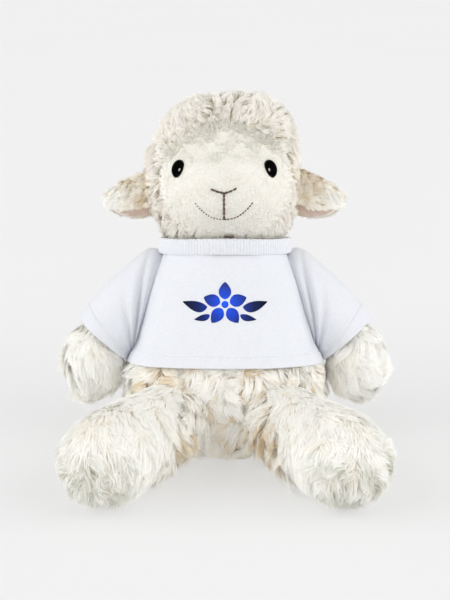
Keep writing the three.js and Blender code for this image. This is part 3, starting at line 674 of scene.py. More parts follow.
def stitch_object(
    name: str, starts: Array, ends: Array, out: Array, radius: float, rings: int = 7, sides: int = 8
) -> Object:
    """Stitches as closed arches of thread.

    A stitch's middle line goes straight from start to end and rises by 0.6 r sin(pi t); its radius is
    r sin(pi t)^0.3.

    Args:
        name: The object's name.
        starts: Where each stitch leaves the cloth.
        ends: Where it goes back in.
        out: Unit normals of the cloth.
        radius: The thread's radius.
        rings: Rings along a stitch.
        sides: Vertices round it.

    Returns:
        The object.
    """
    t, a = np.linspace(0.02, 0.98, rings), round_turn(sides)
    along = unit(ends - starts)
    side = unit(np.cross(along, out))
    lift = np.cross(side, along)
    middle = starts[:, None] + (ends - starts)[:, None] * t[None, :, None]
    middle = middle + (0.6 * radius * np.sin(math.pi * t))[None, :, None] * lift[:, None]
    ring = np.cos(a)[:, None] * side[:, None] + np.sin(a)[:, None] * lift[:, None]
    points = middle[:, :, None] + ring[:, None] * (radius * np.sin(math.pi * t) ** 0.3)[None, :, None, None]
    k = np.arange(1, sides - 1)
    caps = np.stack([0 * k, k + 1, k], -1)
    tris = np.concatenate([triangles(grid_faces(rings, sides)), caps, caps[:, ::-1] + (rings - 1) * sides])
    faces = (np.arange(len(starts))[:, None, None] * (rings * sides) + tris[None]).reshape(-1, 3)
    return make_object(name, points, faces)


# ---- Pile ----


@dataclass
class Locks:
    """A cover's locks: places, normals, lays, length factors, and shades from 0, tan, to 1, grey white; a
    shade is partly random tone and partly painted shade.
    """

    roots: Array
    normals: Array
    lay: Array
    scale: Array
    tone_and_shade: Array

    def where(self, keep: Array) -> "Locks":
        """Only the locks that keep picks."""
        return Locks(*(part[keep] for part in (self.roots, self.normals, self.lay, self.scale, self.tone_and_shade)))


@dataclass
class Pile:
    """Long pile: strands stand in locks, and locks are drawn into tufts that twist as one."""

    length: float = 11
    rise: float = 5
    crest: float = 0.78
    strands: int = 16
    width: float = 0.75
    spread: float = 2.3
    tight: float = 0.3
    curl: float = 0.8
    tuft: float = 10
    tuft_pull: float = 0.6
    tuft_curl: float = 2.2
    turns: float = 0.6
    stray: float = 0.5
    segments: int = 4
    seed: int = 1

    def middle_lines(self, locks: Locks, rng: np.random.Generator) -> tuple[Array, Array, Array]:
        """Each lock's middle line from its root, its lay and the direction beside it.

        A line rises by rise (1 - (1 - t / crest)^2), so that its tip turns back, and runs along its lay by
        run t^1.2. A share of the way to its tuft's middle, times t^1.4, draws the tuft together, and a helix
        whose radius grows as t^1.2 twists it. The lock's own curl grows as t.
        """
        roots, normals, scale = locks.roots, locks.normals, locks.scale
        n, t = len(roots), np.linspace(0, 1, self.segments + 1)
        middles = roots[one_a_cell(roots, self.tuft)]
        own = ((roots[:, None] - middles[None]) ** 2).sum(-1).argmin(1)
        tuft_phase = rng.uniform(0, TURN, len(middles))[own][:, None]
        tuft_hand = rng.choice([-1.0, 1.0], len(middles))[own][:, None]
        tuft_size = rng.uniform(*TUFT_SIZES, len(middles))[own]
        tuft_turn = rng.normal(0, TUFT_TURN, len(middles))[own]
        lay = swirled(locks.lay, normals, tuft_turn)
        side = np.cross(normals, lay)
        size = self.length * scale * tuft_size * rng.uniform(*LOCK_SIZES, n)
        rise = np.minimum(self.rise * np.sqrt(scale) * rng.uniform(*LOCK_RISES, n), STEEPEST * size)
        run = np.sqrt(size**2 - rise**2)
        line = spans(rise[:, None] * (1 - (1 - t / self.crest) ** 2), normals)
        line = line + spans(run[:, None] * t**1.2, lay)
        to_middle = flat_on(middles[own] - roots, normals)
        line = line + to_middle[:, None] * (self.tuft_pull * t**1.4)[None, :, None]
        swing = self.tuft_curl * scale[:, None] * t**1.2
        phase = tuft_phase + TURN * self.turns * t * tuft_hand
        line = line + spans(swing * (np.cos(phase) - np.cos(tuft_phase)), side)
        line = line + spans(swing * 0.35 * (np.sin(phase) - np.sin(tuft_phase)), normals)
        phase = rng.uniform(0, TURN, (n, 1)) + TURN * t * rng.choice([-1, 1], (n, 1))
        swing = self.curl * scale[:, None] * rng.uniform(0.5, 1.5, (n, 1)) * t
        line = line + spans(swing * np.cos(phase), side) + spans(swing * np.sin(phase) * 0.5, normals)
        return line, lay, side

    def grow(self, name: str, locks: Locks) -> Object:
        """Grows the locks. A strand starts near its lock's root and is drawn to the middle line as t^1.1.

        Args:
            name: The object's name.
            locks: Where the locks stand and how they lie.

        Returns:
            The pile's object, with the strand's shade as u and the place from root to tip as v. Its shading
            normals are mostly the cover's, because a dense pile scatters light as one soft surface.
        """
        rng = np.random.default_rng(self.seed)
        n, m, k = len(locks.roots), self.strands, self.segments
        t, normals = np.linspace(0, 1, k + 1), locks.normals
        line, lay, side = self.middle_lines(locks, rng)
        radius = self.spread * np.sqrt(rng.uniform(0, 1, (n, m)))
        around = rng.uniform(0, TURN, (n, m))
        offset = spans(radius * np.cos(around), lay) + spans(radius * np.sin(around), side)
        share = rng.uniform(*STRAND_REACH, (n, m))
        noise = rng.normal(0, 1, (n, m, 3)) * self.stray
        points = locks.roots[:, None, None] + offset[:, :, None] * (1 - self.tight * t**1.1)[:, None]
        points = points + line[:, None] * share[:, :, None, None] + noise[:, :, None] * (t**1.6)[:, None]
        along = unit(np.gradient(points, axis=2))
        facing = unit(normals[:, None] + 0.1 * rng.normal(0, 1, (n, m, 3)))
        across = unit(np.cross(along, facing[:, :, None]))
        wide = self.width * rng.uniform(*STRAND_WIDTHS, (n, m))[..., None] * (1 - TAPER * t**1.6)
        out = unit(np.cross(across, along) + COVER_SHADING * normals[:, None, None])
        left, right = points - across * wide[..., None] / 2, points + across * wide[..., None] / 2
        verts = np.concatenate([left[:, :, :-1], right[:, :, :-1], points[:, :, -1:]], 2).reshape(-1, 3)
        verts[:, 2] = np.maximum(verts[:, 2], FLOOR_CLEARANCE)
        strand = [[q, k + q, k + q + 1] for q in range(k - 1)] + [[q, k + q + 1, q + 1] for q in range(k - 1)]
        strand.append([k - 1, 2 * k - 1, 2 * k])
        per = 2 * k + 1
        faces = (np.arange(n * m)[:, None, None] * per + np.array(strand)[None]).reshape(-1, 3)
        shade = np.clip(locks.tone_and_shade[:, None] + rng.normal(0, SHADE_SPREAD, (n, m)), 0.01, 0.99).ravel()
        v = np.tile(np.concatenate([t[:-1], t[:-1], t[-1:]]), n * m)
        uv = np.stack([np.repeat(shade, per), v], -1)
        obj = make_object(name, verts, faces, uv, "OFBake", closed=False)
        out = np.concatenate([out[:, :, :-1], out[:, :, :-1], out[:, :, -1:]], 2).reshape(-1, 3)
        obj.data.normals_split_custom_set_from_vertices(out)
        return obj


def spans(amount: Array, way: Array) -> Array:
    """Each row of amounts times its own direction."""
    return amount[..., None] * way[:, None]


def swirled(lay: Array, normals: Array, angle: Array) -> Array:
    """Lays each direction on its surface and turns it about the normal by an angle."""
    lay = unit(flat_on(lay, normals))
    return lay * np.cos(angle)[:, None] + np.cross(normals, lay) * np.sin(angle)[:, None]


# ---- Finishes ----


class Nodes:
    """The node tree of a material or of the world."""

    def __init__(self, owner: bpy.types.Material | bpy.types.World) -> None:
        """Turns the owner's nodes on."""
        owner.use_nodes = True
        self.owner, self.tree = owner, owner.node_tree

    def put(self, socket: Socket, value: object) -> None:
        """Links an output socket to an input, or sets the input's value."""
        if isinstance(value, Socket):
            self.tree.links.new(value, socket)
        else:
            socket.default_value = value

    def add(self, kind: str, links: dict | None = None, **settings: object) -> bpy.types.Node:
        """Adds a node.

        Args:
            kind: The node's type, without "ShaderNode".
            links: Input name or number to an output socket or a value.
            **settings: Properties of the node.

        Returns:
            The node.
        """
        node = self.tree.nodes.new("ShaderNode" + kind)
        for key, value in settings.items():
            setattr(node, key, value)
        for key, value in (links or {}).items():
            self.put(node.inputs[key], value)
        return node

    def noise(self, scale: float, detail: float = 2.0, **more: float) -> Socket:
        """Noise in object space; the scale counts waves in a metre."""
        at = self.add("TexCoord").outputs["Object"]
        return self.add("TexNoise", {"Vector": at, "Scale": scale, "Detail": detail, **more}).outputs[0]

    def maths(self, kind: str, a: object, b: object) -> Socket:
        """Works out a product or a sum."""
        return self.add("Math", {0: a, 1: b}, operation=kind).outputs[0]

    def ramp(self, value: Socket, stops: list[tuple[float, str]]) -> Socket:
        """A colour ramp through hex colours."""
        node = self.add("ValToRGB", {"Fac": value})
        elements = node.color_ramp.elements
        while len(elements) < len(stops):
            elements.new(0.5)
        for element, (at, colour) in zip(elements, stops):
            element.position = at
            element.color = linear(colour)
        return node.outputs["Color"]

    def multiply(self, factor: float, a: Socket, b: Socket) -> Socket:
        """Multiplies two colours, by a factor."""
        return self.add("Mix", {0: factor, 6: a, 7: b}, data_type="RGBA", blend_type="MULTIPLY").outputs[2]

    def finish(
        self,
        colour: Socket,
        roughness: float,
        sheen: float = 0.0,
        relief: tuple | None = None,
        gloss: float = 0.2,
    ) -> bpy.types.Material:
        """Sets the shader and returns the material.

        Args:
            colour: Socket of the colour.
            roughness: Principled roughness.
            sheen: Sheen weight.
            relief: Height socket, bump strength and bump height in metres.
            gloss: Specular level; cloth and fibres have little.

        Returns:
            The material.
        """
        inputs = self.tree.nodes["Principled BSDF"].inputs
        values = {"Base Color": colour, "Roughness": roughness, "Specular IOR Level": gloss}
        for key, value in {**values, "Sheen Weight": sheen, "Sheen Roughness": 0.5}.items():
            self.put(inputs[key], value)
        if relief:
            bump = self.add("Bump", dict(zip(("Height", "Strength", "Distance"), relief)))
            self.put(inputs["Normal"], bump.outputs["Normal"])
        return self.owner


@dataclass(frozen=True)
class WoolFinish:
    """Polyester long pile, brushed and set in curls: near-white tips over a warmer, darker root that is
    painted shade deep in the pile.
    """

    name: str
    root: str = "FCF9F2"
    middle: str = "FEFDF9"
    tip: str = "FFFFFD"
    tan: str = "E2D0AF"
    grey: str = "E6E6DF"
    through: float = 0.26

    def build(self) -> bpy.types.Material:
        """The colour darkens from tip to root, as painted shade deep in the pile, and the strand's shade
        number tints it tan, cream or grey white.

        A strand is a thin strip in place of a bundle of clear fibres, so a share of its light comes through.
        """
        nodes = Nodes(bpy.data.materials.new(self.name))
        split = nodes.add("SeparateXYZ", {0: nodes.add("UVMap", uv_map="OFBake").outputs[0]})
        # Painted shade: each strand is a little darker and warmer at its root than at its tip.
        along = nodes.ramp(split.outputs[1], [(0.0, self.root), (0.4, self.middle), (0.8, self.tip)])
        warm = [(0.0, self.tan), (0.2, "F4ECDC"), (0.38, "FDFAF4")]
        cool = [(0.78, "FDFDFC"), (1.0, self.grey)]
        colour = nodes.multiply(1.0, along, nodes.ramp(split.outputs[0], [*warm, (0.52, "FFFFFF"), *cool]))
        material = nodes.finish(colour, 0.8, 0.7)
        far = nodes.add("BsdfTranslucent", {"Color": colour}).outputs[0]
        near = nodes.tree.nodes["Principled BSDF"].outputs[0]
        both = nodes.add("MixShader", {0: self.through, 1: near, 2: far})
        nodes.put(nodes.tree.nodes["Material Output"].inputs["Surface"], both.outputs[0])
        return material


@dataclass(frozen=True)
class NoiseFinish:
    """A plain surface that noise mottles between two shades, with finer noise as its relief.

    Mottling and relief state the noise's scale and detail; stops are the shades' places on the ramp.
    """

    name: str
    dark: str
    light: str
    roughness: float
    mottling: tuple[float, float]
    stops: tuple[float, float] = (0.3, 0.7)
    sheen: float = 0.0
    gloss: float = 0.2
    relief: tuple[float, float] | None = None
    strength: float = 0.0
    height: float = 0.0

    def build(self) -> bpy.types.Material:
        """Makes the colour's noise and the relief's."""
        nodes = Nodes(bpy.data.materials.new(self.name))
        colour = nodes.ramp(nodes.noise(*self.mottling), list(zip(self.stops, (self.dark, self.light))))
        relief = (nodes.noise(*self.relief), self.strength, self.height) if self.relief else None
        return nodes.finish(colour, self.roughness, self.sheen, relief, self.gloss)


@dataclass(frozen=True)
class VelourFinish:
    """Short sheared pile: soft matte cream, with painted sheen that lightens it where the nap turns."""

    name: str
    light: str = "E4E2DA"
    dark: str = "DCD9CF"

    def build(self) -> bpy.types.Material:
        """Noise of 6 mm paints the sheen of the nap's lie, and noise of 0.7 mm the sheared tips."""
        nodes = Nodes(bpy.data.materials.new(self.name))
        tips = nodes.noise(1400.0)
        colour = nodes.ramp(nodes.noise(160.0, 4.0, Roughness=0.6), [(0.32, self.dark), (0.6, self.light)])
        colour = nodes.multiply(0.6, colour, nodes.ramp(tips, [(0.3, "F1EEE8"), (0.6, "FFFFFF")]))
        return nodes.finish(colour, 0.9, 0.3, (tips, 0.35, 0.0005))


@dataclass(frozen=True)
class JerseyFinish:
    """Cotton jersey: matte cool white with fine columns of stitches, drawn at 1 mm so that they show."""

    name: str
    light: str = "DDDFE4"
    dark: str = "D8DAE0"

    def build(self) -> bpy.types.Material:
        """Waves along u and v of the cloth's own millimetres make the stitch columns and rows."""
        nodes = Nodes(bpy.data.materials.new(self.name))
        uv = nodes.add("UVMap", uv_map="Weave").outputs[0]
        columns = nodes.add("TexWave", {"Vector": uv, "Scale": 0.31416}, bands_direction="X").outputs["Fac"]
        wave = {"Vector": uv, "Scale": 0.377, "Distortion": 0.4}
        rows = nodes.add("TexWave", wave, bands_direction="Y").outputs["Fac"]
        slub = nodes.noise(900.0, 3.0)
        height = nodes.maths("ADD", nodes.maths("MULTIPLY", columns, rows), slub)
        colour = nodes.ramp(slub, [(0.3, self.dark), (0.62, self.light)])
        return nodes.finish(colour, 0.88, 0.15, (height, 0.25, 0.00025))


@dataclass(frozen=True)
class FilmFinish:
    """Heat-pressed transfer film: satin ink whose blue deepens from the middle to its ends."""

    name: str

    def build(self) -> bpy.types.Material:
        """The distance from the print's middle picks the blue; the knit's columns of 1 mm are its relief."""
        nodes = Nodes(bpy.data.materials.new(self.name))
        uv = nodes.add("UVMap", uv_map="Print").outputs[0]
        away = nodes.add("VectorMath", {0: uv, 1: (0.5, 0.5, 0.0)}, operation="DISTANCE").outputs["Value"]
        place = nodes.maths("ADD", away, nodes.maths("MULTIPLY", nodes.noise(320.0, 3.0), 0.12))
        colour = nodes.ramp(place, [(0.05, "0458EE"), (0.15, "0340C8"), (0.3, "021D62"), (0.46, "010512")])
        knit = nodes.add("TexWave", {"Vector": uv, "Scale": 18.85}, bands_direction="X").outputs["Fac"]
        return nodes.finish(colour, 0.5, 0.0, (knit, 0.15, 0.0001), 0.15)


def thread(name: str, dark: str, light: str) -> NoiseFinish:
    """Rayon embroidery thread: a soft gloss and the twist of its plies, as noise of 0.4 mm."""
    plies = (2500.0, 2.0)
    twist = {"relief": plies, "strength": 0.4, "height": 0.0002}
    return NoiseFinish(name, dark, light, 0.55, plies, (0.35, 0.65), 0.2, **twist)


def all_finishes() -> Finishes:
    """Builds every finish of this toy.

    The backing is a mottled tan cream, darker than the tips of its pile. The eyes are moulded black acrylic,
    so smooth that only the lamps show in them.
    """
    roots = {"relief": (1250.0, 2.0), "strength": 0.6, "height": 0.0006}
    black = {"stops": (0.3, 0.8), "gloss": 0.28}
    stock = {
        "wool": WoolFinish("Long pile cream"),
        "wool_hand": WoolFinish("Long pile hands", through=0.14),
        "wool_belly": WoolFinish("Long pile belly", through=0.16, root="FAF3E5", middle="FEFCF7"),
        "wool_head": WoolFinish("Long pile head", root="F4EFE2", middle="F9F6EF", tip="FBF9F5"),
        "backing": NoiseFinish("Knitted pile backing", "F0E6D2", "FBF7EE", 0.95, (250.0, 3.0), **roots),
        "velour": VelourFinish("Sheared velour"),
        "lining": VelourFinish("Pinkish velour", "E6D3C6", "CDB3A2"),
        "jersey": JerseyFinish("Cotton jersey"),
        "eye": NoiseFinish("Polished black acrylic", "030303", "070606", 0.07, (400.0, 2.0), **black),
        "thread": thread("Brown embroidery thread", "3A2A22", "6A5347"),
        "sewing": thread("White sewing thread", "DDE0E8", "F6F7FA"),
        "film": FilmFinish("Pressed transfer film"),
        "nap": WoolFinish("Sheared velour pile", "F3F1EB", "F9F8F3", "FBFAF7", "F6F1E6", "D4D2C6"),
        "washer": NoiseFinish("Moulded washer", "DCDCD6", "E8E8E4", 0.5, (200.0, 2.0)),
    }
    return {key: finish.build() for key, finish in stock.items()}


# ---- Sub-assemblies ----


def dress(obj: Object, material: bpy.types.Material, body: str) -> Object:
    """Gives a piece its finish, its body and its material slot, and returns it."""
    obj.data.materials.clear()
    obj.data.materials.append(material)
    if body:
        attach(obj, body)
    log.info("%s: %d faces", obj.name, len(obj.data.polygons))
    return obj


def streaks(roots: Array) -> Array:
    """Shades of the belly's and the thighs' locks, in streaks that run down."""
    return 0.58 + 0.28 * ripple(roots * [1, 1, 0.35], 5.5, 6)


@dataclass
class TorsoCover:
    """The body's cover: a front and a back panel of pile over one backing."""

    finishes: Finishes
    torso: Torso
    legs: list[Turned]
    inset: float = 3.6

    def build(self) -> None:
        """Makes the backing and its pile."""
        backing = form_object("torso_cover", self.torso, -self.inset, 96, 90)
        dress(backing, self.finishes["backing"], "torso")
        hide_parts("torso_skin", "torso_filling", "pellet_pouch")
        locks = self.locks()
        front = locks.roots[:, 1] < 6
        for word, keep, seed in (("front", front, 12), ("back", ~front, 13)):
            pile = Pile(length=12, rise=3.3, strands=28, spread=2.7, seed=seed, **SHAGGY)
            fur = pile.grow(f"torso_pile_{word}", locks.where(keep))
            dress(fur, self.finishes["wool_belly"], "torso")

    def locks(self) -> Locks:
        """Belly locks fall towards the seat in swirls; those on the floor are pressed flat and short."""
        _, _, roots, normals = self.torso.roots(3.2, -self.inset, 11)
        own = unlean(roots)
        hidden = (own[:, 2] > HEM_HEIGHT + 2) | (normals[:, 2] < -0.8)
        for leg in self.legs:
            hidden |= leg.depth_inside(roots) > 1.5
        roots, normals, own = roots[~hidden], normals[~hidden], own[~hidden]
        roots = roots + (3.5 * ease(np.abs(own[:, 0]), 30, 50) * ease(own[:, 2], 12, 26))[:, None] * normals
        lay = swirled(DOWN, normals, ripple(roots, 30, 3))
        scale = np.clip(0.98 + 0.14 * ripple(roots, 15, 5), 0.7, 1.25)
        scale = scale * (1 - 0.25 * ease(own[:, 2], HEM_HEIGHT - 8, HEM_HEIGHT))
        scale = scale * (0.5 + 0.5 * ease(roots[:, 2], 1.5, 6))
        # Painted shade: the locks turn tan in the fold where each leg meets the belly. Painted light: they
        # turn lighter just below the hem, against the shade that the hem casts.
        fold = sum(np.exp(-((leg.depth_inside(roots) + 3) ** 2) / 60) for leg in self.legs)
        tone_and_shade = streaks(roots) - 0.16 * fold + 0.14 * ease(own[:, 2], 32, 44)
        return Locks(roots, normals, lay, scale, tone_and_shade)


@dataclass
class LegCover:
    """One leg with its foot."""

    finishes: Finishes
    side: Side
    form: Turned
    torso: Torso
    inset: float = 2.4

    def build(self) -> None:
        """Makes the backing and its pile: tufts by the hip, a smooth thigh, and curls low on the sole."""
        word, sign = self.side.word, self.side.value
        backing = form_object(f"leg_{word}_cover", self.form, -self.inset, 72, 64, 0.02, 1.0)
        dress(backing, self.finishes["backing"], f"leg_{word}")
        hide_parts(f"leg_{word}_skin", f"leg_{word}_filling")
        _, _, roots, normals = self.form.roots(3.4, -self.inset, 21 + sign)
        shown = self.torso.depth_inside(roots) < 4
        roots, normals = roots[shown], normals[shown]
        height, off_middle = roots[:, 2], np.abs(roots[:, 0])
        along, off = self.form.along(roots)
        sole = ease(along, 76, 96)
        curly = sole * (1 - ease(height, 24, 46))
        lay = self.form.axis * 0.6 * (1 - sole)[:, None] + unit(off) * 0.5 * sole[:, None] + 0.9 * DOWN
        lay = swirled(lay, normals, (0.22 + 0.6 * curly) * ripple(roots, 24, 7 + sign))
        scale = np.clip(1.0 + 0.1 * ripple(roots, 13, 9), 0.75, 1.25)
        scale = scale * (0.45 + 0.55 * ease(height, 1.5, 9)) * (1 - 0.3 * sole)
        # Painted shade: the curls low on the sole turn greyer towards the floor.
        tone_and_shade = 0.6 + 0.07 * ripple(roots, 15, 10) + curly * (0.32 + 0.22 * ripple(roots, 7, 12))
        locks = Locks(roots, normals, lay, scale, tone_and_shade)
        mixed = curly + 0.25 * ripple(roots, 8, 14) > 0.45
        inner = (30 - 0.25 * (height - 25) - off_middle + 3 * ripple(roots, 9, 15) > 0) & ~mixed
        # Painted shade: the inner tufts turn tan in the hollow between the thigh and the belly.
        pocket_shade = np.exp(-((off_middle - 25) ** 2 / 40 + (height - 25) ** 2 / 90))
        down = swirled(DOWN, normals, ripple(roots, 26, 16))
        near = Locks(roots, normals, down, scale * 1.05, streaks(roots) - 0.5 * pocket_shade)
        smooth = Pile(
            length=10, rise=1.5, strands=28, width=0.48, spread=3.3, tight=0.1, curl=0.2, tuft=11,
            tuft_pull=0.02, tuft_curl=0.4, turns=0.4, stray=0.25, segments=3, seed=23 + sign,
        )
        curls = Pile(
            length=10, rise=3.0, strands=24, width=0.46, spread=2.8, tight=0.2, curl=0.8, tuft=8,
            tuft_pull=0.4, tuft_curl=2.2, turns=0.7, stray=0.55, seed=26 + sign,
        )
        tufts = Pile(length=12, rise=4.2, strands=24, seed=29 + sign, **SHAGGY)
        for name, pile, some, finish in (
            ("pile", smooth, locks.where(~mixed & ~inner), "wool"),
            ("curls", curls, locks.where(mixed), "wool"),
            ("tufts", tufts, near.where(inner), "wool_belly"),
        ):
            dress(pile.grow(f"leg_{word}_{name}", some), self.finishes[finish], f"leg_{word}")


@dataclass
class ArmCover:
    """One arm; only its hand shows below the sleeve."""

    finishes: Finishes
    side: Side
    inset: float = 2.8
    play: float = 2.1

    def form(self) -> Limb:
        """The arm's surface; within the sleeve it keeps clear of the knit."""
        slim, play = SLEEVE_ROWS.copy(), self.play / ARM_LENGTH
        middle = (slim[:, :2] + slim[:, 2:4]) / 2
        pull = (1 - play / (np.hypot(*(slim[:, :2] - slim[:, 2:4]).T) / 2))[:, None]
        slim[:, :2] = middle + (slim[:, :2] - middle) * pull
        slim[:, 2:4] = middle + (slim[:, 2:4] - middle) * pull
        slim[:, 4] -= play
        return Limb(self.side, np.concatenate([slim, HAND_ROWS]))

    def build(self) -> None:
        """Makes the upper arm and the hand, closed inside the cuff."""
        word, sign, form = self.side.word, self.side.value, self.form()
        hand = Limb(self.side, np.concatenate([WRIST_ROWS, form.rows[4:]]))
        along = form.place(HAND_END * ARM_LENGTH) - form.place(HAND_START * ARM_LENGTH)
        upper = form_object(f"arm_{word}_upper", form, -self.inset - 1.0, 56, 28, 0.06, 0.4)
        dress(upper, self.finishes["backing"], "")
        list(form.armhole())
        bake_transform(upper)
        backing = form_object(f"arm_{word}_cover", hand, -self.inset - 1.0, 56, 56)
        dress(backing, self.finishes["backing"], f"arm_{word}")
        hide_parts(f"arm_{word}_skin", f"arm_{word}_filling")
        _, v, roots, normals = hand.roots(3.0, -self.inset - 0.6, 35 + sign)
        roots, normals = roots[v < 0.37], normals[v < 0.37]
        even = np.ones(len(roots))
        nap = Pile(
            length=5, rise=1.2, strands=24, width=0.5, spread=2.6, tight=0.1, tuft_pull=0.05, tuft_curl=0.4,
            stray=0.3, segments=2, seed=37 + sign,
        )
        short = nap.grow(f"arm_{word}_wrist", Locks(roots, normals, along, even, 0.6 * even))
        dress(short, self.finishes["wool"], f"arm_{word}")
        _, v, roots, normals = form.roots(3.1, -self.inset, 31 + sign)
        shown = v > 0.435
        roots, normals, v = roots[shown], normals[shown], v[shown]
        lay = swirled(along, normals, 0.7 * ripple(roots, 20, 13 + sign))
        scale = np.clip(0.98 + 0.14 * ripple(roots, 12, 15), 0.7, 1.25) * (0.6 + 0.4 * ease(v, 0.42, 0.52))
        # Painted shade: the hand's side towards the body turns tan.
        tone_and_shade = 0.6 + 0.1 * ripple(roots, 13, 16) - 0.16 * ease(-roots[:, 0] * sign, -66, -50)
        pile = Pile(
            length=10.5, rise=2.2, strands=30, width=0.48, spread=3.0, tight=0.12, curl=0.5, tuft_pull=0.1,
            tuft_curl=1.1, turns=0.5, stray=0.4, seed=33 + sign,
        )
        fur = pile.grow(f"arm_{word}_pile", Locks(roots, normals, lay, scale, tone_and_shade))
        dress(fur, self.finishes["wool_hand"], f"arm_{word}")


@dataclass
class HeadCover:
    """The head's long pile, its face panel, eyes and stitches."""

    finishes: Finishes
    head: Head
    inset: float = 4.8
    parting_x: float = -5.0
    eye_spacing: float = 52.2
    eye_up: float = 54.0

    def build(self) -> None:
        """Makes each piece of the head."""
        self.cover()
        self.face()
        self.nap()
        self.pile()
        for side in Side:
            self.eye(side)
        self.stitches()

    def cover(self) -> None:
        """The backing of the long pile; it draws in by 1 mm behind the face panel."""
        vv, uu = grid(np.linspace(0, 1, 100), np.arange(112) / 112)
        inside = ease(self.head.face_share(self.head.point(uu, vv)), 1.02, 0.92)
        obj = form_object("head_cover", self.head, -self.inset - inside, 112, 100)
        dress(obj, self.finishes["backing"], "head")
        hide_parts("head_skin", "head_filling")

    def face(self) -> None:
        """The face panel: rings of r up to 1.06 whose rim turns in under the wool."""
        rings, around = 60, 160
        rr, aa = grid(np.linspace(0, 1.06, rings)[1:], round_turn(around))
        x, up = self.head.on_face(rr, aa)
        grow = -4.0 * ease(rr, 0.88, 1.06) + 0.15 * ripple(np.stack([x, up, 0 * x], -1), 12, 17)
        centre = self.head.front(np.array([0.0]), np.array([self.head.face_height]))
        flat = np.concatenate([self.head.front(x, up, grow).reshape(-1, 3), centre])
        faces = [triangles(grid_faces(rings - 1, around)), fan(len(flat) - 1, np.arange(around))]
        faces = np.concatenate(faces)[:, [0, 2, 1]]
        uv = np.concatenate([np.stack([x, up], -1).reshape(-1, 2), [[0.0, self.head.face_height]]])
        obj = make_object("face_panel_velour", flat, faces, uv, closed=False)
        dress(obj, self.finishes["velour"], "head")
        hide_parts("face_panel")

    def nap(self) -> None:
        """The face's sheared pile, which leaves the eyes and the knot on the chin clear."""
        rng, count = np.random.default_rng(42), 3600
        r, a = np.sqrt(rng.uniform(0, 1.06, count)), rng.uniform(0, TURN, count)
        x, up = self.head.on_face(r, a)
        normals = self.head.front_normal(x, up)
        roots = self.head.front(x, up, -0.5 - 2.6 * ease(r, 0.88, 1.03))
        away = roots - self.head.front(np.array([0.0]), np.array([42.0]))
        lay = swirled(away + 6.0 * DOWN, normals, 0.5 * ripple(roots, 10, 44))
        # Painted shade: the nap turns greyer towards the top of the face, under the crown's pile.
        tone_and_shade = 0.52 + 0.05 * ripple(roots, 14, 45) + 0.4 * ease(up, 46, 66)
        clear = np.hypot(x - 2.3, up - 15.6) > 3.6
        for sign in (-1, 1):
            clear &= np.hypot(x - sign * self.eye_spacing / 2, up - self.eye_up) > 6.2
        locks = Locks(roots, normals, lay, 1 + 1.3 * ease(r, 0.82, 1.0), tone_and_shade).where(clear)
        pile = Pile(
            length=1.7, rise=0.65, strands=9, width=0.34, spread=1.1, tight=0.2, curl=0.1, tuft=4,
            tuft_pull=0.05, tuft_curl=0.1, stray=0.12, segments=2, seed=46,
        )
        dress(pile.grow("face_nap", locks), self.finishes["nap"], "head")

    def pile(self) -> None:
        """Two panels of pile: locks stand away from the face, fall down the sides, and part near the middle.

        The crown is fuller by 3.2 mm on the toy's left, and the flank by 2 mm on its right.
        """
        _, _, roots, normals = self.head.roots(3.1, -self.inset, 41)
        own, share = unlean(roots) - [0, 0, self.head.base], self.head.face_share(roots)
        shown = (share >= 0.97 + 0.06 * ease(own[:, 2], 66, 80)) & (own[:, 2] >= 9)
        roots, normals, own, share = roots[shown], normals[shown], own[shown], share[shown]
        x, up = own[:, 0], own[:, 2]
        flank = ease(np.abs(x), 12, 32) * ease(up, 28, 44) * (1 - ease(up, 62, 76))
        fuller = 3.2 * ease(x, 2, 28) * ease(up, 62, 80) + 1.2 * ease(up, 72, 90)
        roots = roots + (fuller + np.where(x > 0, -0.6, 2.0) * flank)[:, None] * normals
        face_middle = lean(np.array([0.0, -40.0, self.head.base + self.head.face_height]))
        high = ease(up, 60, 84)[:, None]
        past = x - self.parting_x - 0.25 * (up - 90)
        parting = np.sign(past) * np.exp(-((past / 5) ** 2)) * ease(up, 76, 84) * (own[:, 1] < 4)
        lay = unit(roots - face_middle) * (0.45 + 0.55 * high)
        lay = lay + np.array([0.0, 0.25, -1.0]) * (1 - high) * 0.8
        lay = lay + parting[:, None] * np.array([1.6, 0.0, 0.0])
        lay = swirled(lay, normals, 0.45 * ripple(roots, 20, 19))
        scale = np.clip(0.97 + 0.15 * ripple(roots, 13, 23), 0.7, 1.25)
        edge = 0.3 + 0.3 * ease(up, 58, 70)
        scale = scale * (1 - edge * (1 - ease(share, 1.0, 1.35))) * (1 - 0.35 * (1 - ease(up, 8, 22)))
        # Painted shade: the lower sides of the head beside the face and under the ears turn tan.
        flank = ease(np.abs(x), 30, 42) * (1 - ease(up, 52, 74))
        tone_and_shade = 0.72 + 0.12 * ripple(roots, 14, 24) - flank * (0.34 - 0.24 * ripple(roots, 7, 25))
        locks, front = Locks(roots, normals, lay, scale, tone_and_shade), own[:, 1] < 2
        for word, keep, strands, seed in (("front", front, 19, 47), ("back", ~front, 17, 48)):
            pile = Pile(
                length=8.5, rise=4.4, strands=strands, width=0.5, spread=2.0, curl=0.6, tuft=8,
                tuft_pull=0.36, tuft_curl=1.2, turns=0.5, stray=0.45, seed=seed,
            )
            fur = pile.grow(f"head_pile_{word}", locks.where(keep))
            dress(fur, self.finishes["wool_head"], "head")

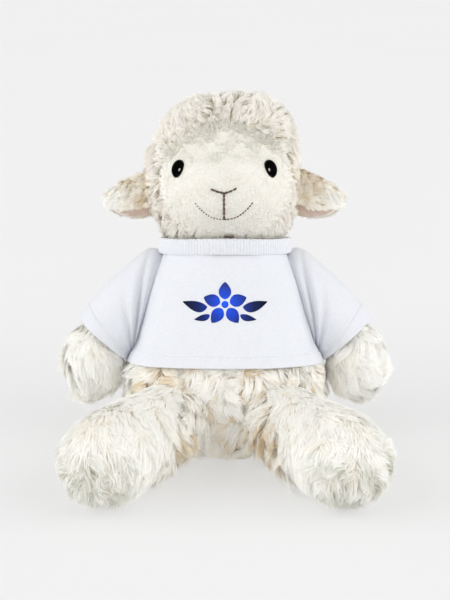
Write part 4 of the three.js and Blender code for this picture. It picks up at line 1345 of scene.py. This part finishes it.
    def eye(self, side: Side) -> None:
        """An oval dome: tall = 5.4 cos a cos b, wide = 4.2 sin a cos b and out = 3.6 sin b."""
        rings, around, half_height, half_width, depth = 26, 48, 5.4, 4.2, 3.6
        x, up = np.array([side.value * self.eye_spacing / 2 - 0.4]), np.array([self.eye_up])
        place, out = self.head.front(x, up)[0], self.head.front_normal(x, up)[0]
        out = unit(out + np.array([0.0, -0.35, 0.0]))
        tall = unit(flat_on(np.array([-side.value * 0.14, 0.0, 1.0]), out))
        bb, aa = grid(np.linspace(-0.35, math.pi / 2, rings), round_turn(around))
        steps = [half_height * np.cos(aa) * np.cos(bb), half_width * np.sin(aa) * np.cos(bb)]
        steps = np.stack([*steps, depth * np.sin(bb) - 0.2], -1)
        points = place + steps @ np.stack([tall, np.cross(tall, out), out])
        flat = np.concatenate([points.reshape(-1, 3), (place - 1.6 * out)[None]])
        faces = [triangles(grid_faces(rings, around)), fan(len(flat) - 1, np.arange(around))]
        obj = make_object(f"eye_{side.word}_dome", flat, np.concatenate(faces))
        dress(obj, self.finishes["eye"], "head")
        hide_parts(f"eye_{side.word}")

    def stitches(self) -> None:
        """Nose, mouth and chin: stitches along lines on the face; the smile's toy-right half is sparse."""
        obj = stitch_object("nose_stitches", *self.along_face([NOSE_PATH, LIP_PATH], 2.6, 1.06), 0.62)
        dress(obj, self.finishes["thread"], "head")
        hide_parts("nose_stitch")
        smile = lambda sign: [(sign * 16.4 * s - 0.7, 25.5 + 9.8 * s**2.4) for s in np.linspace(0, 1, 25)]
        halves = self.along_face([smile(1)], 1.9, 0.86), self.along_face([smile(-1)], 1.7, 0.5)
        obj = stitch_object("mouth_stitches", *(np.concatenate(pair) for pair in zip(*halves)), 0.42)
        dress(obj, self.finishes["thread"], "head")
        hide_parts("mouth_stitch")
        starts, ends, out = self.along_face([CHIN_PATH, CHIN_PATH[::-1]], 1.5, 1.2)
        knot = stitch_object("chin_knot", starts + 0.5 * out, ends + 0.5 * out, out, 0.6)
        dress(knot, self.finishes["thread"], "head")

    def along_face(self, paths: list, length: float, share: float) -> tuple[Array, ...]:
        """Cuts paths on the face into stitches.

        Args:
            paths: Places across and up on the face.
            length: Distance from one stitch to the next.
            share: Part of it that the thread covers.

        Returns:
            Starts, ends and normals.
        """
        found = []
        for path in paths:
            xy = np.array(path)
            run = np.concatenate([[0], np.cumsum(np.linalg.norm(np.diff(xy, axis=0), axis=1))])
            count = max(1, round(run[-1] / length))
            at = (np.arange(count) / count)[:, None] + np.array([0, 0.5, 1.0]) * share / count
            x, up = (np.interp(at * run[-1], run, xy[:, i]) for i in (0, 1))
            places = self.head.front(x, up)
            found.append((places[:, 0], places[:, 2], self.head.front_normal(x[:, 1], up[:, 1])))
        return tuple(np.concatenate(part) for part in zip(*found))


@dataclass
class EarCover:
    """One ear: pile outside and short lining inside."""

    finishes: Finishes
    side: Side
    wall: float = 1.6
    inset: float = 2.2

    def build(self) -> None:
        """Makes the leaf, its lining and its pile."""
        word, sign, form = self.side.word, self.side.value, Ear(self.side)
        middle = -self.inset - self.wall
        leaf = self.sheet(f"ear_{word}_leaf", form, -self.inset, middle)
        dress(leaf, self.finishes["backing"], f"ear_{word}")
        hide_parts(f"ear_{word}_outer")
        lining = self.sheet(f"ear_{word}_inside", form, middle, middle - 1.0)
        dress(lining, self.finishes["lining"], f"ear_{word}")
        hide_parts(f"ear_{word}_lining")
        u, v, roots, normals = form.roots(2.4, -self.inset, 51 + sign)
        way = form.point(u, np.clip(v + 0.02, 0, 1)) - form.point(u, np.clip(v - 0.02, 0, 1))
        lay = swirled(unit(way) + 0.45 * DOWN, normals, 0.4 * ripple(roots, 12, 29))
        scale = np.clip(0.95 + 0.15 * ripple(roots, 9, 31), 0.7, 1.2) * (1 - 0.35 * ease(v, 0.8, 1.0))
        # Painted shade: the pile turns tan towards the ear's root, where it meets the head.
        tone_and_shade = 0.6 + 0.1 * ripple(roots, 10, 32) - 0.34 * (1 - ease(v, 0.25, 0.6))
        pile = Pile(
            length=4.8, rise=2.0, strands=24, width=0.4, spread=1.6, curl=0.3, tuft=6, tuft_pull=0.2,
            tuft_curl=0.5, stray=0.3, segments=3, seed=53 + sign,
        )
        fur = pile.grow(f"ear_{word}_pile", Locks(roots, normals, lay, scale, tone_and_shade))
        dress(fur, self.finishes["wool"], f"ear_{word}")

    def sheet(self, name: str, form: Ear, outer: float, inner: float) -> Object:
        """A closed sheet between two offsets of the leaf, with flat ends."""
        vv, uu = grid(np.linspace(0, 1, 34), np.linspace(0, 1, 44))
        ring = np.concatenate([form.point(uu, vv, outer), form.point(uu, vv, inner)[:, ::-1]], 1)
        return make_object(name, ring, slab_faces(*ring.shape[:2]))


@dataclass
class TailCover:
    """The short tail at the back."""

    finishes: Finishes
    form: Turned = field(default_factory=tail_form)
    inset: float = 3.6

    def build(self) -> None:
        """Makes the backing and its pile."""
        obj = form_object("tail_cover", self.form, -self.inset, 40, 30, 0.04, 1.0)
        dress(obj, self.finishes["backing"], "tail")
        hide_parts("tail")
        _, v, roots, normals = self.form.roots(2.6, -self.inset, 61)
        roots, normals = roots[v > 0.3], normals[v > 0.3]
        lay = swirled(self.form.axis, normals, 0.3 * ripple(roots, 9, 62))
        pile = Pile(
            length=8, rise=3.9, strands=14, spread=1.7, curl=0.4, tuft=6, tuft_pull=0.4, tuft_curl=1.0, seed=63
        )
        locks = Locks(roots, normals, lay, np.ones(len(roots)), 0.5 + 0.1 * ripple(roots, 9, 64))
        dress(pile.grow("tail_pile", locks), self.finishes["wool"], "tail")


@dataclass
class Shirt:
    """The T-shirt: body, sleeves, ribbed collar, hems and chest print."""

    finishes: Finishes
    torso: Torso
    neck_height: float = 111.4
    wall: float = 1.2
    ease: float = 0.5
    ribs: int = 132
    thread_radius: float = 0.16

    def build(self) -> None:
        """Makes the body with what is sewn or pressed on it, the sleeves and the collar."""
        body = self.body()
        extras = [self.hem_stitches(), self.print_film()]
        for side in Side:
            self.sleeve(side)
        self.collar()

    def over(self, own: Array, side: Side) -> tuple[Array, Array]:
        """How far points of the body's frame are past an armhole's plane, and the plane's normal."""
        c, s = math.cos(ARM_TILT), math.sin(ARM_TILT)
        normal = np.array([side.value * c, 0.0, s])
        return own @ normal - (SHOULDER_X * c + SHOULDER_HEIGHT * s), normal

    def body_point(self, angle: Array, height: Array, grow: Array | float) -> Array:
        """The shirt's body: the torso's section, grown and folded.

        Folds deepen towards the hem as cos 6a. Beside each armhole the cloth dips by a bell curve of the
        distance to the seam, and ripples fan out of the armpit. Past the armhole's plane it lies on the
        plane; its hem flares 2.2 mm over it.
        """
        up = height / self.torso.height
        fall = 1 - ease(height, HEM_HEIGHT, self.neck_height)
        fold = 1.1 * fall * (0.5 + 0.5 * np.cos(6 * angle + 3 * up))
        fold = fold + 0.25 * fall * np.cos(17 * angle + 5 * up)
        base, dip = self.torso.at(angle, up, grow + fold), 0.0
        for side in Side:
            depth = 0.9 + 1.3 * (1 - ease(height, 55, 105))
            dip = dip + depth * np.exp(-((self.over(base, side)[0] / 2.6) ** 2))
            x, z = side.value * ARMPIT_X - base[..., 0], height - ARMPIT_HEIGHT
            away, way = np.hypot(x, z), np.arctan2(z, side.value * x)
            dip = dip + 0.55 * np.cos(9 * way + side.value) * np.exp(-away / 22) * away / (away + 9)
        dip = dip * (0.25 + 0.75 * ease(height, HEM_HEIGHT, HEM_HEIGHT + 16))
        flare = 2.2 * (1 - ease(height, HEM_HEIGHT, HEM_HEIGHT + 14))
        own = self.torso.at(angle, up, grow + fold - dip + flare * np.cos(angle) ** 4)
        for side in Side:
            past, normal = self.over(own, side)
            own = own - np.maximum(past - 0.3 - flare, 0)[..., None] * normal
        return lean(own)

    def body_way(self, angle: Array, height: Array) -> Array:
        """Outward unit normals of the cloth."""
        e, g = 0.01, self.ease + self.wall
        across = self.body_point(angle + e, height, g) - self.body_point(angle - e, height, g)
        rise = self.body_point(angle, height + 0.4, g) - self.body_point(angle, height - 0.4, g)
        return unit(np.cross(across, rise))

    def body(self) -> Object:
        """A closed band: up the outside, over the neck edge, down the inside and round the hem."""
        start, girth = HEM_HEIGHT, 340
        heights = np.linspace(start + 1.2, self.neck_height, 88)
        heights = np.concatenate([start + np.array([0.0, 0.15, 0.5]), heights])
        rim = 0.35 * np.exp(-(heights - start) / 0.25)
        hem = 0.45 * ease(heights, start + 7.6, start + 6.8)
        stitch = 0.3 * np.exp(-(((heights - start - 6.2) / 0.5) ** 2))
        outer = self.ease + self.wall + hem - rim - stitch
        hh, aa = grid(np.concatenate([heights, heights[::-1]]), round_turn(260))
        grow = np.concatenate([outer, self.ease + rim[::-1]])[:, None] + 0 * aa
        uv = np.stack([aa / TURN * girth, hh], -1)
        obj = band_object("shirt_body", self.body_point(aa, hh, grow), uv)
        dress(obj, self.finishes["jersey"], "torso")
        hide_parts("shirt_front", "shirt_back")
        return obj

    def hem_stitches(self) -> Object:
        """Two rows of cover stitch, 2.2 mm each, round the hem."""
        count = 150
        a, step, grow = round_turn(count), TURN / count * 0.8, self.ease + self.wall + 0.35
        rows = []
        for height in (HEM_HEIGHT + 5.6 + 0 * a, HEM_HEIGHT + 6.9 + 0 * a):
            ends = self.body_point(a, height, grow), self.body_point(a + step, height, grow)
            rows.append((*ends, self.body_way(a, height)))
        lines = (np.concatenate(part) for part in zip(*rows))
        obj = stitch_object("hem_stitches", *lines, self.thread_radius, 4, 5)
        return dress(obj, self.finishes["sewing"], "torso")

    @staticmethod
    def creases(side: Side, u: Array, v: Array) -> Array:
        """Bell curves across the sleeve that run round its front and back, deepest beside the armpit."""
        low, flank = 0.5 - 0.5 * np.cos(TURN * u), np.sin(TURN * u) ** 2
        bend = 0.02 * np.sin(TURN * (3 * u + 0.2 * side.value))
        bell = lambda at, width: np.exp(-(((v - at - bend) / width) ** 2))
        seam = -(0.3 + 2.2 * low) * np.exp(-((v / 0.06) ** 2))
        drape = 1.5 * bell(0.13 + 0.04 * low, 0.05) - 3.4 * bell(0.24 + 0.1 * low, 0.042)
        drape = drape + 1.6 * bell(0.37 + 0.1 * low, 0.06) - 2.8 * bell(0.52 + 0.06 * low, 0.045) * low
        drape = drape + 1.0 * bell(0.64, 0.06) * low
        wave = 0.5 * np.cos(10 * math.pi * u + side.value) * ease(v, 0.5, 1.0)
        return seam + drape * (0.15 + 0.85 * flank) * (0.45 + 0.55 * low) + wave

    def sleeve(self, side: Side) -> None:
        """A tube open at the armhole and the cuff, with soft creases beside the seam and a stitched cuff."""
        word, stitched = side.word, 0.87
        form = Limb(side, SLEEVE_ROWS, partial(self.creases, side))
        around, along = 132, 76
        v = np.linspace(0, 1, along)
        vv, uu = grid(np.concatenate([v, v[::-1]]), np.arange(around) / around)
        hem = 0.4 * ease(v, 0.83, 0.86) - 0.3 * np.exp(-(((v - stitched) / 0.012) ** 2))
        rim = 0.35 * ease(v, 0.985, 1.0)
        grow = np.concatenate([hem - rim, rim[::-1] - self.wall])[:, None] + 0 * uu
        obj = band_object(f"sleeve_{word}_cloth", form.point(uu, vv, grow), np.stack([uu * 130, vv * 45], -1))
        dress(obj, self.finishes["jersey"], "")
        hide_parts(f"sleeve_{word}")
        count = 62
        at, row = np.arange(count) / count, np.full(count, stitched)
        starts, ends = form.point(at, row, 0.35), form.point(at + 0.8 / count, row, 0.35)
        lines = starts, ends, form.normal(at, row)
        cuff = stitch_object(f"cuff_{word}_stitches", *lines, self.thread_radius, 4, 5)
        dress(cuff, self.finishes["sewing"], f"arm_{word}")
        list(form.armhole())
        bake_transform(obj)

    def collar(self) -> Object:
        """A turned ring whose radius ripples with its ribs: r = R + 0.2 cos(132 a)."""
        last, girth = len(COLLAR_ROWS) - 1, 250
        steps = np.linspace(0, last, 37)[:-1]
        radius, height = (np.interp(steps, np.arange(last + 1), COLLAR_ROWS[:, i]) for i in (0, 1))
        rr, aa = grid(radius, round_turn(self.ribs * 6))
        hh = height[:, None] + 0 * aa
        rr = rr + 0.2 * np.cos(self.ribs * aa) * (rr > 38.4)
        rr = rr + 0.35 * np.cos(5 * aa + 1) + 0.2 * np.cos(11 * aa)
        own = np.stack([rr * np.cos(aa), rr * np.sin(aa), hh + self.neck_height + 0.3 * np.cos(4 * aa)], -1)
        obj = band_object("shirt_collar_rib", lean(own), np.stack([aa / TURN * girth, hh], -1))
        dress(obj, self.finishes["jersey"], "torso")
        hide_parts("shirt_collar")
        return obj

    def chest(self, flat: Array, proud: float) -> Array:
        """The cloth's front straight behind places of the chest, from |cos a| = (|x| / w)^(p/2)."""
        x, height = flat[..., 0], flat[..., 1]
        wide, _, power = self.torso.section(height / self.torso.height)
        share = np.clip(np.abs(x) / (wide + self.ease + self.wall), 0, 0.999)
        angle = -np.arccos(np.sign(x) * share ** (power / 2))
        return self.body_point(angle, height, self.ease + self.wall + proud)

    def print_film(self) -> Object:
        """The chest print: a five-petalled flower with a leaf on each side, as closed patches of thin film.

        A patch's half width is w sin(pi s^0.8)^q at the share s of its length; it is laid on the chest as two
        layers 0.12 mm apart.
        """
        middle, span = PRINT_MIDDLE, 60
        shapes = [(90 + 72 * i, 2.9, 9.8, 3.5, 0.75, 0.0) for i in range(5)]
        shapes += [(-8, 10.2, 13.6, 3.1, 0.85, 0.35), (188, 10.2, 13.6, 3.1, 0.85, -0.35)]
        shapes += [(-34, 10.4, 9.0, 1.9, 0.85, 0.3), (214, 10.4, 9.0, 1.9, 0.85, -0.3)]
        along, across = 26, 9
        ss, rr = grid(np.linspace(0.004, 0.996, along), np.linspace(-1, 1, across))
        parts = []
        for turn, start, length, width, power, bend in shapes:
            c, s = math.cos(math.radians(turn)), math.sin(math.radians(turn))
            half = width * np.sin(math.pi * ss**0.8) ** power
            flat = middle + (start + length * ss)[..., None] * np.array([c, s])
            flat = flat + (rr * half + bend * length * ss**2)[..., None] * np.array([-s, c])
            loop = np.concatenate([self.chest(flat, 0.14), self.chest(flat, 0.02)[:, ::-1]], 1)
            parts.append((loop, np.concatenate([flat, flat[:, ::-1]], 1), slab_faces(along, 2 * across)))
        rad, ang = grid(np.array([0.02, 1.0, 2.0, 2.0, 1.0, 0.02]), round_turn(24))
        flat = middle + np.stack([rad * np.cos(ang), rad * np.sin(ang)], -1)
        disc = np.concatenate([self.chest(flat, 0.16)[:3], self.chest(flat, 0.02)[3:]])
        parts.append((disc, flat, grid_faces(6, 24)))
        base = np.cumsum([0] + [loop.size // 3 for loop, _, _ in parts])
        points = np.concatenate([loop.reshape(-1, 3) for loop, _, _ in parts])
        uv = np.concatenate([(flat - middle).reshape(-1, 2) / span + 0.5 for _, flat, _ in parts])
        faces = np.concatenate([quads + first for (_, _, quads), first in zip(parts, base)])
        film = make_object("chest_print", points, faces, uv, "Print")
        return dress(film, self.finishes["film"], "torso")


@dataclass
class Studio:
    """Camera, lights and floor, as in a plain product picture."""

    distance: float = 850
    elevation: float = math.radians(16)
    target: tuple[float, float, float] = (0.0, 17.3, 81.2)
    lens: float = 85
    sensor: float = 36
    surround: float = 0.5
    boxes: float = 0.95
    glow: float = 0.46

    def build(self) -> None:
        """Sets the camera, the lights, the world and the floor."""
        scene = bpy.context.scene
        scene.view_settings.view_transform = "Standard"
        scene.cycles.max_bounces = 16
        scene.cycles.diffuse_bounces = 10
        camera = bpy.data.objects.new("camera", bpy.data.cameras.new("camera"))
        scene.collection.objects.link(camera)
        camera.data.lens = self.lens
        camera.data.sensor_fit = "VERTICAL"
        camera.data.sensor_height = self.sensor
        camera.data.clip_start, camera.data.clip_end = 0.05, 50
        back = Vector((0, -math.cos(self.elevation), math.sin(self.elevation)))
        camera.location = (Vector(self.target) + back * self.distance) * MM
        camera.rotation_euler = (-back).to_track_quat("-Z", "Y").to_euler()
        scene.camera = camera
        self.lamp("left soft box", (-0.85, -0.3, 0.43), 1.2, 60).visible_glossy = False
        self.lamp("right soft box", (0.85, -0.3, 0.43), 1.15, 60).visible_glossy = False
        self.lamp("front fill", (0.0, -0.93, 0.36), 0.3, 40).visible_glossy = False
        self.lamp("eye light", (0.0, -1.0, 0.12), 3.4, 28).visible_diffuse = False
        scene.world = self.world()
        self.floor()

    def lamp(self, name: str, way: tuple[float, float, float], strength: float, spread: float) -> Object:
        """A sun from a direction, with a wide disc for soft shadows."""
        light = bpy.data.lights.new(name, "SUN")
        light.energy = strength
        light.angle = math.radians(spread)
        obj = bpy.data.objects.new(name, light)
        obj.rotation_euler = Vector(way).to_track_quat("Z", "Y").to_euler()
        bpy.context.scene.collection.objects.link(obj)
        return obj

    def world(self) -> bpy.types.World:
        """A white surround that brightens to both sides as x squared, as large soft boxes do.

        It is dim in reflections, so that the eyes stay black, and the camera sees a plain background.
        """
        nodes = Nodes(bpy.data.worlds.new("studio"))
        way = nodes.add("SeparateXYZ", {0: nodes.add("TexCoord").outputs["Generated"]}).outputs["X"]
        square = nodes.maths("MULTIPLY", way, way)
        level = nodes.add("Math", {0: square, 1: self.boxes, 2: self.surround}, operation="MULTIPLY_ADD")
        ground = nodes.tree.nodes["Background"]
        nodes.put(ground.inputs["Color"], (1, 1, 1, 1))
        nodes.put(ground.inputs["Strength"], level.outputs[0])
        dim = nodes.add("Background", {"Color": (0.04, 0.04, 0.04, 1)}).outputs[0]
        seen = nodes.add("Background", {"Color": linear("F3F3F3")}).outputs[0]
        path = nodes.add("LightPath").outputs
        shiny = nodes.add("MixShader", {0: path["Is Glossy Ray"], 1: ground.outputs[0], 2: dim}).outputs[0]
        both = nodes.add("MixShader", {0: path["Is Camera Ray"], 1: shiny, 2: seen}).outputs[0]
        nodes.put(nodes.tree.nodes["World Output"].inputs["Surface"], both)
        return nodes.owner

    def floor(self) -> None:
        """A light table 14 m across, so that its edge stays out of sight; its glow softens the shadows."""
        corners = 7000.0 * np.array([[-1, -1, 0], [1, -1, 0], [1, 1, 0], [-1, 1, 0]])
        obj = make_object("floor", corners, np.array([[0, 1, 2, 3]]), closed=False)
        material = NoiseFinish("Light table", "A7A7A7", "A8A8A8", 1.0, (3.0, 2.0)).build()
        inputs = material.node_tree.nodes["Principled BSDF"].inputs
        inputs["Emission Color"].default_value = (1, 1, 1, 1)
        inputs["Emission Strength"].default_value = self.glow
        obj.data.materials.append(material)
        obj.visible_glossy = False


def main() -> None:
    """Builds the toy piece by piece."""
    logging.basicConfig(level=logging.INFO, format="%(message)s")
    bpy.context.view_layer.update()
    finishes = all_finishes()
    torso = Torso()
    legs = {side: leg_form(side) for side in Side}
    TorsoCover(finishes, torso, list(legs.values())).build()
    for side in Side:
        LegCover(finishes, side, legs[side], torso).build()
        ArmCover(finishes, side).build()
        EarCover(finishes, side).build()
        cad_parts[f"eye_washer_{side.word}"].material_slots[0].material = finishes["washer"]
    HeadCover(finishes, Head()).build()
    TailCover(finishes).build()
    Shirt(finishes, torso).build()
    Studio().build()


if __name__ == "__main__":
    main()
